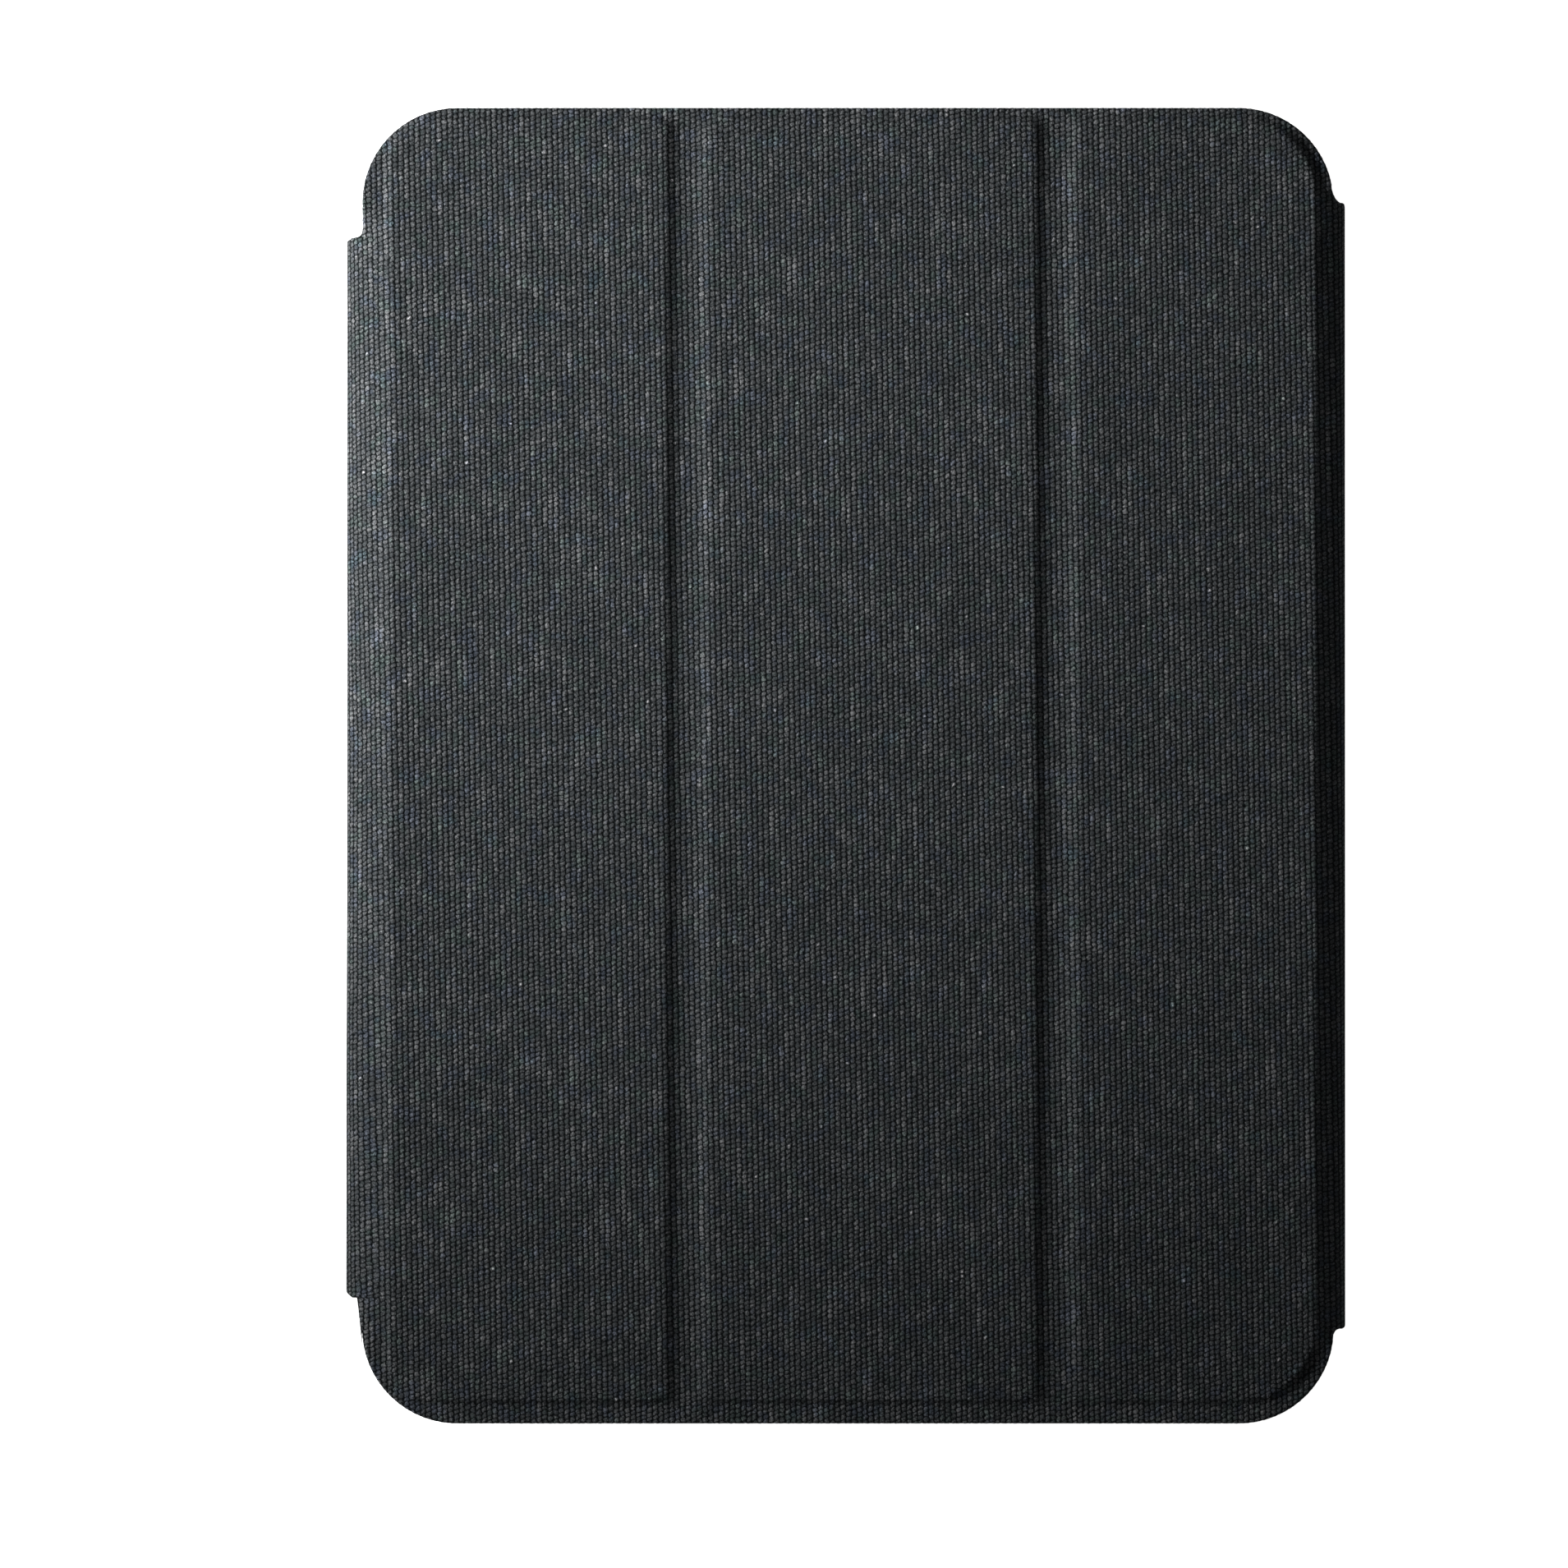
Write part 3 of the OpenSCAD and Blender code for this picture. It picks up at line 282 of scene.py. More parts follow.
@dataclass(frozen=True)
class WovenCloth:
    """Heather cloth: thick cords along the case, tied down by a finer cross thread.

    Attributes:
        pitch: distance from cord to cord.
        bead: length of cord between two ties.
        lean: how far the cords lean off the long side.
        wander: how far a cord strays from its line.
        relief: height of a cord.
        gap: painted shade, the dark colour deep between the cords where a cord's crown falls
            away.
        yarn: colour of most fibres.
        fleck: colour of the pale fibres, and of the painted glints.
        spark: colour of the few bright fibres.
        slub: paleness of thick stretches of cord.
        weft: paleness of some cross threads.
        luck: difference in paleness from bead to bead.
        fuzz: difference from tuft to tuft.
        glint: strength of the painted glints, small highlights on the cords.
        nap: how much the fine fibres break up the painted shade and the yarn's colour.
    """

    pitch: float = 1.07
    bead: float = 0.98
    lean: float = 0.018
    wander: float = 0.4
    relief: float = 0.34
    gap: Colour = (0.0034, 0.0046, 0.005)
    yarn: Colour = (0.0605, 0.0695, 0.0733)
    fleck: Colour = (0.305, 0.32, 0.326)
    spark: Colour = (0.75, 0.76, 0.78)
    slub: float = 0.44
    weft: float = 0.2
    luck: float = 0.45
    fuzz: float = 2.1
    glint: float = 0.6
    nap: float = 3.4

    def material(self, graph: Graph) -> bpy.types.Material:
        """Builds the cloth's material from its threads.

        Args:
            graph: empty graph of the new material.

        Returns:
            The finished material.
        """
        place = graph.fabric_place()
        across, along, _ = graph.split(place)
        drift_x, drift_y, drift_z = graph.split(graph.noise(place, 0.33).part("Color"))
        shake_x, shake_y, _ = graph.split(graph.noise(place, 1.3, 1.0).part("Color"))
        cord_at = across + along * self.lean + (drift_x - 0.5) * self.wander
        cord_at = (cord_at + (shake_x - 0.5) * 0.45) / self.pitch
        cord = cord_at.whole()
        cord_luck = graph.chance(cord, 3.0, 7.0)
        bead_at = (along + (drift_y - 0.5) * 1.1 + (shake_y - 0.5) * 0.7) / self.bead
        bead_at = bead_at + cord * 0.5 + cord_luck * 0.3 - cord_at.fraction() * 0.55
        bead = bead_at.whole()
        bead_luck = graph.chance(cord, bead, 1.0)
        bead_y = (bead_at.fraction() - 0.5) * 2.0
        cord_x = (cord_at.fraction() - 0.5) * 2.0 + bead_y * 0.22

        fibre = graph.noise(graph.join(across * 6.5, along * 3.6, 0.0), 1.0, 2.0, 0.6)
        fuzz = graph.noise(graph.join(across * 3.2, along * 2.2, 30.0), 1.0, 2.0, 0.6)
        # Painted glints: small pale specks that stand for highlights on the cords.
        glint = graph.noise(graph.join(across * 5.0, along * 3.4, 60.0), 1.0, 1.0)
        slub = graph.noise(graph.join(cord * 3.7, along * 0.13, 4.0), 1.0)
        weft = graph.noise(graph.join(across * 0.09, bead * 2.9, 9.0), 1.0, 1.0)
        cloudy = graph.noise(place, 0.05, 3.0)
        round_x, round_y = ((1.0 - at * at).held() for at in (cord_x, bead_y))
        crown = round_x ** 0.8 * (0.24 + round_y ** 0.7 * 0.76)
        height = crown * (0.65 + bead_luck * 0.5) + (fibre - 0.5) * 0.8 + (drift_z - 0.5) * 0.3

        # Paleness of the yarn from thick stretches, cross threads, chance and tufts, with the
        # painted glints on top.
        light = slub.ramp(0.5, 0.72) * self.slub + weft.ramp(0.58, 0.76) * self.weft
        light = light + (bead_luck - 0.5) * self.luck + (fuzz - 0.5) * self.fuzz
        light = light + glint.ramp(0.54, 0.7) * self.glint
        # Painted shade: the colour falls from the yarn's to the gap's as a cord's crown falls
        # away, and cloudy patches and the nap break it up.
        painted_shade_and_nap = crown.ramp(0.16, 0.92) * (0.64 + cloudy * 0.4 + (fibre - 0.5) * self.nap)
        yarn = graph.mix((light + 0.25).ramp(0.0, 1.6), self.yarn, self.fleck)
        lone = graph.chance(cord, bead, 5.0).ramp(0.9975, 0.999)
        yarn = graph.mix(lone * crown.ramp(0.8, 0.97) * fuzz.ramp(0.3, 0.6), yarn, self.spark)
        # Painted shade between the cords: the yarn gives way to the gap's dark colour.
        shade = graph.mix(painted_shade_and_nap.held(), self.gap, yarn)
        blue, green = (graph.noise(place + aside, 0.26).ramp(0.5, 0.7)
                       for aside in ((40.0, 0.0, 0.0), (0.0, 70.0, 0.0)))
        tint = graph.mix(blue, (1.03, 0.99, 1.0), (0.95, 0.98, 1.17))
        tint = tint * graph.mix(green, (1.0, 1.0, 1.0), (0.92, 1.08, 1.0))
        return graph.surface(shade * tint, 0.94 - crown * 0.14, graph.bump(height, self.relief),
                             Specular_IOR_Level=0.04)


@dataclass(frozen=True)
class Suede:
    """Brushed microfibre with a short nap."""

    colour: Colour
    nap: float = 0.05

    def material(self, graph: Graph) -> bpy.types.Material:
        """Builds the nap and its brushed patches.

        Args:
            graph: empty graph of the new material.

        Returns:
            The finished material.
        """
        place = graph.solid_place()
        hair = graph.noise(place, 6.0, 3.0, 0.7)
        brushed = graph.noise(place * (0.05, 0.02, 0.05), 1.0, 3.0)
        share = (hair * 0.55 + brushed * 0.45).ramp(0.3, 0.7)
        return graph.surface(
            graph.mix(share, toned(self.colour, 0.72), toned(self.colour, 1.3)),
            0.88 + hair * 0.1, graph.bump(hair, self.nap),
            Specular_IOR_Level=0.2, Sheen_Weight=0.25, Sheen_Roughness=0.45)


@dataclass(frozen=True)
class Moulded:
    """Moulded plastic or rubber with a spark-eroded grain."""

    colour: Colour
    rough: float = 0.5
    grain: float = 3.2
    depth: float = 0.015
    shine: float = 0.5

    def material(self, graph: Graph) -> bpy.types.Material:
        """Builds the grain, and the slight wear on it.

        Args:
            graph: empty graph of the new material.

        Returns:
            The finished material.
        """
        place = graph.solid_place()
        grain = graph.noise(place, self.grain, 2.0, 0.6)
        worn = graph.noise(place, 0.06, 4.0)
        share = (worn * 0.7 + grain * 0.3).ramp(0.3, 0.7)
        return graph.surface(
            graph.mix(share, toned(self.colour, 0.88), toned(self.colour, 1.14)),
            self.rough - 0.06 + worn * 0.12 + (grain - 0.5) * 0.08,
            graph.bump(grain, self.depth), Specular_IOR_Level=self.shine)


@dataclass(frozen=True)
class Metal:
    """Rolled or plated metal with fine lines along it."""

    colour: Colour
    rough: float = 0.32

    def material(self, graph: Graph) -> bpy.types.Material:
        """Builds the rolled lines and a few dull patches.

        Args:
            graph: empty graph of the new material.

        Returns:
            The finished material.
        """
        place = graph.solid_place()
        x, y, z = graph.split(place)
        lines = graph.noise(graph.join(x * 9.0, y * 0.15, z * 9.0), 1.0, 3.0)
        dull = graph.noise(place, 0.4).ramp(0.35, 0.7)
        return graph.surface(graph.mix(dull, toned(self.colour, 0.8), self.colour),
                             self.rough + (lines - 0.5) * 0.2, graph.bump(lines, 0.006),
                             Metallic=1.0)


# ---- plain geometry


def smooth_step(share: Points) -> Points:
    """Smooth rise from 0 to 1 as share goes from 0 to 1."""
    held = np.clip(share, 0.0, 1.0)
    return held * held * (3.0 - 2.0 * held)


def line(start: Sequence[float], end: Sequence[float], step: float = EDGE_STEP) -> Points:
    """Points from start up to, but without, end.

    Args:
        start: first point.
        end: point that the next stretch begins with.
        step: greatest distance between points.

    Returns:
        The points, one a row.
    """
    first, last = np.array(start, float), np.array(end, float)
    count = max(1, math.ceil(np.linalg.norm(last - first) / step))
    return first + (last - first) * (np.arange(count)[:, None] / count)


def arc(centre: Sequence[float], radius: float, start: float, end: float, count: int) -> Points:
    """Points round a centre from one angle up to, but without, another, in degrees.

    Args:
        centre: middle of the circle.
        radius: its radius.
        start: first angle.
        end: angle that the next stretch begins with.
        count: number of points.

    Returns:
        The points, one a row.
    """
    angles = np.radians(start + (end - start) * np.arange(count) / count)
    return np.array(centre, float) + radius * np.stack([np.cos(angles), np.sin(angles)], 1)


def bezier(controls: Sequence[Sequence[float]], count: int) -> Points:
    """Points of a cubic curve from its first control point to its last.

    Args:
        controls: its four control points.
        count: number of stretches.

    Returns:
        The points, one a row.
    """
    share = np.linspace(0.0, 1.0, count + 1)[:, None]
    rest = 1.0 - share
    a, b, c, d = (np.array(point, float) for point in controls)
    return rest**3 * a + 3 * rest**2 * share * b + 3 * rest * share**2 * c + share**3 * d


def grid(xs: Points, ys: Points) -> Points:
    """Every pair of a place across and a place along."""
    return np.stack(np.meshgrid(xs, ys), -1).reshape(-1, 2)


def lengths(path: Points) -> Points:
    """Length of a path from its start to each of its corners."""
    return np.concatenate([[0.0], np.cumsum(np.linalg.norm(np.diff(path, axis=0), axis=1))])


def sideways(path: Points) -> Points:
    """Unit vectors to the left of a path, at each of its corners.

    Args:
        path: corners of an open path.

    Returns:
        One vector a corner.
    """
    run = np.gradient(path, axis=0)
    run /= np.maximum(np.linalg.norm(run, axis=1), 1e-9)[:, None]
    return np.stack([-run[:, 1], run[:, 0]], 1)


def middle_and_half(low: Points, high: Points) -> tuple[Points, Points]:
    """Middle of a box and half its size, across and along."""
    return (low[:2] + high[:2]) / 2, (high[:2] - low[:2]) / 2


def edge_drop(near: Points, soft: float) -> Points:
    """How far a face falls by an edge that is rounded.

    Args:
        near: distance from the edge.
        soft: radius of the rounding.

    Returns:
        The depth below the face.
    """
    return soft - np.sqrt(np.maximum(soft**2 - np.clip(soft - near, 0.0, soft) ** 2, 0.0))


def frayed(path: Points, depth: float, step: float = 0.32) -> Points:
    """A cut edge of cloth that strays a little off its path, but not at the path's ends.

    Args:
        path: corners along the edge.
        depth: how far the edge strays.
        step: distance between the new corners.

    Returns:
        New corners from the path's first to its last.
    """
    along = lengths(path)
    at = np.linspace(0.0, along[-1], max(2, math.ceil(along[-1] / step)) + 1)
    even = np.stack([np.interp(at, along, path[:, axis]) for axis in (0, 1)], 1)
    stray = sum(np.sin(at * pace + shift) for pace, shift in ((7.9, 0.0), (5.7, 1.3), (3.3, 4.1)))
    held = smooth_step(np.minimum(at, at[-1] - at) / 2.0)
    return even + sideways(even) * (depth / 3 * stray * held)[:, None]


def distance_to_paths(points: Points, paths: Sequence[Points]) -> Points:
    """Distance from each point to the nearest of some open paths.

    Args:
        points: places to measure from.
        paths: open polylines.

    Returns:
        One distance a point.
    """
    nearest = np.full(len(points), 1e9)
    for path in paths:
        for start, end in zip(path[:-1], path[1:]):
            run = end - start
            share = np.clip((points - start) @ run / max(float(run @ run), 1e-12), 0.0, 1.0)
            gap = np.linalg.norm(points - start - share[:, None] * run, axis=1)
            nearest = np.minimum(nearest, gap)
    return nearest


def thin_out(points: Points, apart: float = 0.05) -> Points:
    """Leaves out points that share a small square with one before them.

    Args:
        points: places to choose from.
        apart: side of a square.

    Returns:
        The points that stay.
    """
    keys = np.round(points / apart).astype(int)
    _, kept = np.unique(keys, axis=0, return_index=True)
    return points[np.sort(kept)]


def rounded_ring(low: Sequence[float], high: Sequence[float], r0: float, r1: float, step: float,
                 turn: int | None = None) -> Points:
    """Points round a rounded box.

    Args:
        low: its lowest corner.
        high: its highest corner.
        r0: radius of the corners at the low end of X.
        r1: radius of those at the high end.
        step: greatest distance between points.
        turn: number of points round a corner, in place of what the step gives.

    Returns:
        The ring's points.
    """
    (x0, y0), (x1, y1) = low, high
    n0, n1 = (turn or max(3, math.ceil(r * 1.6 / step)) for r in (r0, r1))
    return np.concatenate([
        line((x0 + r0, y0), (x1 - r1, y0), step), arc((x1 - r1, y0 + r1), r1, -90, 0, n1),
        line((x1, y0 + r1), (x1, y1 - r1), step), arc((x1 - r1, y1 - r1), r1, 0, 90, n1),
        line((x1 - r1, y1), (x0 + r0, y1), step), arc((x0 + r0, y1 - r0), r0, 90, 180, n0),
        line((x0, y1 - r0), (x0, y0 + r0), step), arc((x0 + r0, y0 + r0), r0, 180, 270, n0),
    ])


def inside_outline(points: Points, outline: Points, margin: float = 0.03) -> Points:
    """The points that lie inside a closed outline, and not on its edge.

    Args:
        points: places to choose from.
        outline: corners of the outline.
        margin: how far off the edge a point has to lie.

    Returns:
        The points that lie inside.
    """
    inside = np.zeros(len(points), bool)
    x, y = points[:, 0], points[:, 1]
    for (ax, ay), (bx, by) in zip(outline, np.roll(outline, -1, axis=0)):
        if ay != by:
            crosses = (ay > y) != (by > y)
            inside ^= crosses & (x < (bx - ax) * (y - ay) / (by - ay) + ax)
    closed = np.concatenate([outline, outline[:1]])
    return points[inside & (distance_to_paths(points, [closed]) > margin)]


def span(node: str) -> tuple[Points, Points]:
    """Lowest and highest corner of a CAD node, in millimetres."""
    low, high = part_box(node)
    return np.array(low) / MM, np.array(high) / MM


# ---- meshes


def add_mesh(name: str, points: Points, faces: Sequence[Sequence[int]], sharp: float = 40.0,
             fabric: Points | None = None) -> bpy.types.Object:
    """Makes a closed mesh in the scene.

    Args:
        name: the piece's name.
        points: corners in millimetres.
        faces: corner numbers of each face.
        sharp: edges that turn more than this many degrees stay sharp.
        fabric: place across and along the cloth at each corner, in millimetres.

    Returns:
        The new object.
    """
    mesh = bpy.data.meshes.new(name)
    mesh.from_pydata((points * MM).tolist(), [], [list(face) for face in faces])
    if fabric is not None:
        wide = np.zeros((len(points), 3), np.float32)
        wide[:, :2] = fabric
        layer = mesh.attributes.new(FABRIC, "FLOAT_VECTOR", "POINT")
        layer.data.foreach_set("vector", wide.ravel())
    work = bmesh.new()
    work.from_mesh(mesh)
    bmesh.ops.recalc_face_normals(work, faces=work.faces)
    for face in work.faces:
        face.smooth = True
    limit = math.radians(sharp)
    for edge in work.edges:
        edge.smooth = len(edge.link_faces) != 2 or edge.calc_face_angle() < limit
    work.to_mesh(mesh)
    work.free()
    made = bpy.data.objects.new(name, mesh)
    bpy.context.scene.collection.objects.link(made)
    return made


@dataclass
class Layer:
    """A flat-laid layer cut to an outline, with an upper and a lower face."""

    name: str
    outline: Points
    inner: Points
    upper: HeightAt
    lower: HeightAt
    hole: Points | None = None

    def build(self) -> bpy.types.Object:
        """Cuts the outline into triangles and closes the layer round its edge."""
        edges, first, loops = [], 0, [self.outline]
        if self.hole is not None:
            loops.append(self.hole)
        for loop in loops:
            edges += [(first + i, first + (i + 1) % len(loop)) for i in range(len(loop))]
            first += len(loop)
        spots = np.concatenate([*loops, self.inner]).tolist()
        found = delaunay_2d_cdt([Vector(spot) for spot in spots], edges, [], 1, 1e-5)
        flat = np.array([tuple(point) for point in found[0]])
        triangles = np.array(found[2])
        if self.hole is not None:
            centre = self.hole.mean(0)
            reach = np.linalg.norm(self.hole[0] - centre) * 0.98
            triangles = triangles[
                np.linalg.norm(flat[triangles].mean(1) - centre, axis=1) > reach]
        count = len(flat)
        points = np.concatenate(
            [np.column_stack([flat, face(flat)]) for face in (self.upper, self.lower)])
        seen = dict.fromkeys(edge for a, b, c in triangles.tolist()
                             for edge in ((a, b), (b, c), (c, a)))
        faces = [*triangles.tolist(), *(triangles[:, ::-1] + count).tolist()]
        faces += [(b, a, a + count, b + count) for a, b in seen if (b, a) not in seen]
        return add_mesh(self.name, points, faces, fabric=points[:, :2])


@dataclass
class Strip:
    """A band drawn along Y over a curve in X and Z, with a thickness towards its inside.

    Attributes:
        name: the piece's name.
        curve: points in X and Z along the outer face.
        outer: depth of the band's outer face under the curve.
        inner: depth of its inner face.
        reach: where the band ends along Y at each point of the curve, low and high.
        fabric_from: place across the cloth at the curve's first point.
        soft: roundness of the edge at both ends.
        bow: how far the middle of the curve bows out in X, by the place along Y.
        steps: number of rows along Y.
        close: places of the extra rows at both ends.
    """

    name: str
    curve: Points
    outer: float
    inner: float
    reach: tuple[Points, Points]
    fabric_from: float
    soft: float
    bow: HeightAt
    steps: int = 170
    close: tuple[float, float] = (0.9985, 0.996)

    def build(self) -> bpy.types.Object:
        """Makes the band as a closed mesh."""
        inward = -sideways(self.curve)
        ends = np.array(self.close)
        rungs = np.linspace(-1.0, 1.0, self.steps + 1)
        shares = np.sort(np.concatenate([rungs, ends, -ends]))
        low, high = self.reach
        across = lengths(self.curve)
        rows = []
        for depth, side in ((self.outer, 1.0), (self.inner, -1.0)):
            for share in shares:
                y = (high + low) / 2 + share * (high - low) / 2
                drop = edge_drop(np.minimum(y - low, high - y), self.soft)
                at = self.curve + inward * (depth + side * drop)[:, None]
                bowed = at[:, 0] + self.bow(y) * np.sin(math.pi * across / across[-1])
                rows.append(np.column_stack([bowed, y, at[:, 1], across]))
        flat = np.array(rows).reshape(-1, 4)
        wide, long = len(self.curve), len(shares)
        under = long * wide
        faces = []
        for row in range(0, (long - 1) * wide, wide):
            for a in range(row, row + wide - 1):
                outer = (a, a + 1, a + wide + 1, a + wide)
                faces += [outer, tuple(corner + under for corner in reversed(outer))]
        loop = [*range(wide), *range(2 * wide - 1, under, wide),
                *range(under - 2, under - wide - 1, -1), *range(under - 2 * wide, 0, -wide)]
        faces += [(b, a, a + under, b + under) for a, b in zip(loop, loop[1:] + loop[:1])]
        fabric = np.column_stack([self.fabric_from + flat[:, 3], flat[:, 1]])
        return add_mesh(self.name, flat[:, :3], faces, fabric=fabric)


# ---- cover


class Side(Enum):
    """The two long sides of the cover."""

    SPINE = -1
    CLASP = 1


OUTER_SIDE = {0: Side.SPINE, 2: Side.CLASP}


@dataclass(frozen=True)
class Notch:
    """Where the cover's edge runs out into a fold's end.

    Attributes:
        out: how far past the cover's edge the cut runs.
        run: how far along the edge it takes to get there.
        lean: how far the fold's end falls back from there to the fold's outer side.
        pull: how hard the curve hugs the inside of the corner, from 0 to 1.
        beyond: how far the cloth's cut lies past the end of the fold's core.
    """

    out: float
    run: float
    lean: float
    pull: float
    beyond: float = 0.0


@dataclass
class Cover:
    """Three boards under one cloth, with the folds between them.

    Attributes:
        cloth_t: thickness of the cloth.
        edge_round: roundness of its cut edge.
        slope_at_crease: reach of the slope off a board into a crease.
        slope_at_side: the same, to the rim at a long side.
        slope_at_top: the same, to the rim at the top end.
        slope_at_bottom: the same, to the rim at the bottom end.
        slope_start: where the slope starts, off the board's edge.
        slope_shape: share of a slope that rounds over at its top, and how it runs out below.
        fold_shape: the same where it runs on into a fold.
        fold_steep: steepness of a fold's start, as a share of the slope before it.
        fold_foot: length over which a fold comes down on its leaf.
        fold_near: how far from its seam a fold still pulls the cloth.
        corner: radius of the cover's corners.
        lining_inset: how far the lining stays inside the cloth's edge.
        lining_round: roundness of the lining's edge, as a share of its thickness.
        twist: length of rim over which it turns down into a fold.
        fray: how far a cut edge strays off its line.
        pucker: depth of the cloth's waves over a board.
    """

    cloth_t: float = 0.7
    edge_round: float = 0.45
    slope_at_crease: float = 4.9
    slope_at_side: float = 2.6
    slope_at_top: float = 2.4
    slope_at_bottom: float = 1.5
    slope_start: float = 0.15
    slope_shape: tuple[float, float] = (0.3, 2.4)
    fold_shape: tuple[float, float] = (0.22, 1.0)
    fold_steep: float = 1.2
    fold_foot: float = 2.0
    fold_near: float = 8.0
    corner: float = 18.4
    lining_inset: float = 0.5
    lining_round: float = 0.6
    twist: float = 7.0
    fray: float = 0.05
    pucker: float = 0.012

    def __post_init__(self) -> None:
        """Reads the places of boards, creases and folds from the frame."""
        spine, clasp = Side.SPINE, Side.CLASP
        creases = [span(f"crease_web_{n}") for n in (1, 2)]
        hinges = {spine: span("cover_hinge_web"), clasp: span("clasp_hinge_web")}
        self.edge_x = {spine: span("panel_1_skin")[0][0], clasp: span("panel_3_skin")[1][0]}
        _, (_, self.half_l, self.top_z) = span("panel_2_skin")
        self.lining_z, self.rim_z = creases[0][0][2], creases[0][1][2]
        self.step = self.top_z - self.rim_z
        self.seam_x = {spine: hinges[spine][1][0], clasp: hinges[clasp][0][0]}
        self.fold_half = {side: high[1] for side, (_, high) in hinges.items()}
        self.fold_x = {spine: span("spine_skin")[0][0], clasp: span("clasp_skin")[1][0]}
        self.fold_z = span("spine_skin")[1][2]
        self.fold_run = {spine: 4.0, clasp: 1.9}
        self.fold_lean = {spine: 0.0, clasp: math.radians(9.0)}
        self.edges = [(self.edge_x[spine], creases[0][0][0]),
                      (creases[0][1][0], creases[1][0][0]),
                      (creases[1][1][0], self.edge_x[clasp])]
        self.boards = [[corner[:2] for corner in span(f"panel_{n}_board")] for n in (1, 2, 3)]
        self.board_x = {spine: self.boards[0][0][0], clasp: self.boards[2][1][0]}
        self.board_r = [(8.0, 1.5), (1.5, 1.5), (1.5, 14.0)]
        self.notches = {
            (spine, 1): Notch(1.6, 2.0, 0.5, 0.75),
            (spine, -1): Notch(1.1, 9.5, 1.2, 0.12, 0.7),
            (clasp, 1): Notch(1.5, 3.6, 0.9, 0.55),
            (clasp, -1): Notch(1.3, 2.0, 0.5, 0.7),
        }
        self.webs = {side: self.web_curve(side) for side in Side}

    def web_curve(self, side: Side) -> Points:
        """Outer face of the fold from the seam at the board down to the spine or clasp.

        Args:
            side: which long side.

        Returns:
            Points in X and Z.
        """
        seam = np.array([self.seam_x[side], self.rim_z])
        foot = np.array([self.fold_x[side], self.fold_z])
        fall = self.step / abs(self.board_x[Side.SPINE] - self.seam_x[Side.SPINE])
        fall *= self.fold_steep
        way = np.array([side.value, -fall]) / math.hypot(1.0, fall)
        lean = self.fold_lean[side]
        up = self.fold_foot * np.array([math.sin(lean), math.cos(lean)])
        return bezier([seam, seam + self.fold_run[side] * way, foot + up, foot], 22)

    def cut_y(self, side: Side, end: int) -> float:
        """Where the cloth is cut at one end of a fold, along the case."""
        return end * (self.fold_half[side] + self.notches[side, end].beyond)

    def web_height(self, x: Points, side: Side) -> Points:
        """Height of the fold's outer face over a place across the case.

        Args:
            x: places across the case.
            side: which long side.

        Returns:
            One height a place.
        """
        curve = self.webs[side]
        order = np.argsort(curve[:, 0])
        return np.interp(x, curve[order, 0], curve[order, 1])

    def board_distance(self, points: Points, number: int) -> Points:
        """Signed distance from a board's outline, below 0 on the board.

        Args:
            points: places across and along.
            number: which panel.

        Returns:
            One distance a point.
        """
        middle, half = middle_and_half(*self.boards[number])
        radius = np.where(points[:, 0] < middle[0], *self.board_r[number])
        q = np.abs(points - middle) - half + radius[:, None]
        return np.minimum(q.max(1), 0.0) + np.linalg.norm(np.maximum(q, 0.0), axis=1) - radius

    @staticmethod
    def fall_off(share: Points, convex: float, power: float) -> Points:
        """Height left on a slope, from 1 at its top to 0 at its foot.

        Args:
            share: place down the slope, from 0 to 1.
            convex: share of the slope that rounds over at the top.
            power: 1 for a straight run from there to the foot, and more to run out gently.

        Returns:
            The height left, as a share of the step.
        """
        t = np.clip(share, 0.0, 1.0)
        rest = 1.0 - convex
        scale = 1.0 / (rest**power + convex / 2 * power * rest ** (power - 1))
        bend = scale * power * rest ** (power - 1) / (2 * convex)
        return np.where(t < convex, 1.0 - bend * t**2, scale * (1.0 - t) ** power)

    def slope_reach(self, points: Points, number: int) -> Points:
        """How far off a board its slope reaches, in the direction of each point.

        Args:
            points: places across and along.
            number: which panel.

        Returns:
            One length a point.
        """
        middle, half = middle_and_half(*self.boards[number])
        past = np.maximum(np.abs(points - middle) - half, 0.0) ** 2 + 1e-9
        to_crease = (points[:, 0] - middle[0]) * (1 - number) >= 0
        wide = np.where(to_crease, self.slope_at_crease, self.slope_at_side)
        long = np.where(points[:, 1] > 0, self.slope_at_top, self.slope_at_bottom)
        return long + (wide - long) * (past[:, 0] / past.sum(1))

    def cloth_plane(self, points: Points, number: int) -> Points:
        """Height of the cloth's outer face, before its cut edge is rounded.

        Args:
            points: places across and along.
            number: which panel.

        Returns:
            One height a point.
        """
        away = self.board_distance(points, number)
        reach = self.slope_reach(points, number)
        share = (away - self.slope_start) / (reach - self.slope_start)
        height = self.rim_z + self.step * self.fall_off(share, *self.slope_shape)
        if number in OUTER_SIDE:
            height = self._towards_fold(points, height, away, OUTER_SIDE[number])
        x, y = points[:, 0], points[:, 1]
        wave = np.sin(x / 17.0 + y / 31.0) + np.sin(y / 23.0 - x / 41.0 + 1.7) * 0.8
        return height - self.pucker * (wave + 1.8) * smooth_step(-away / 6.0)

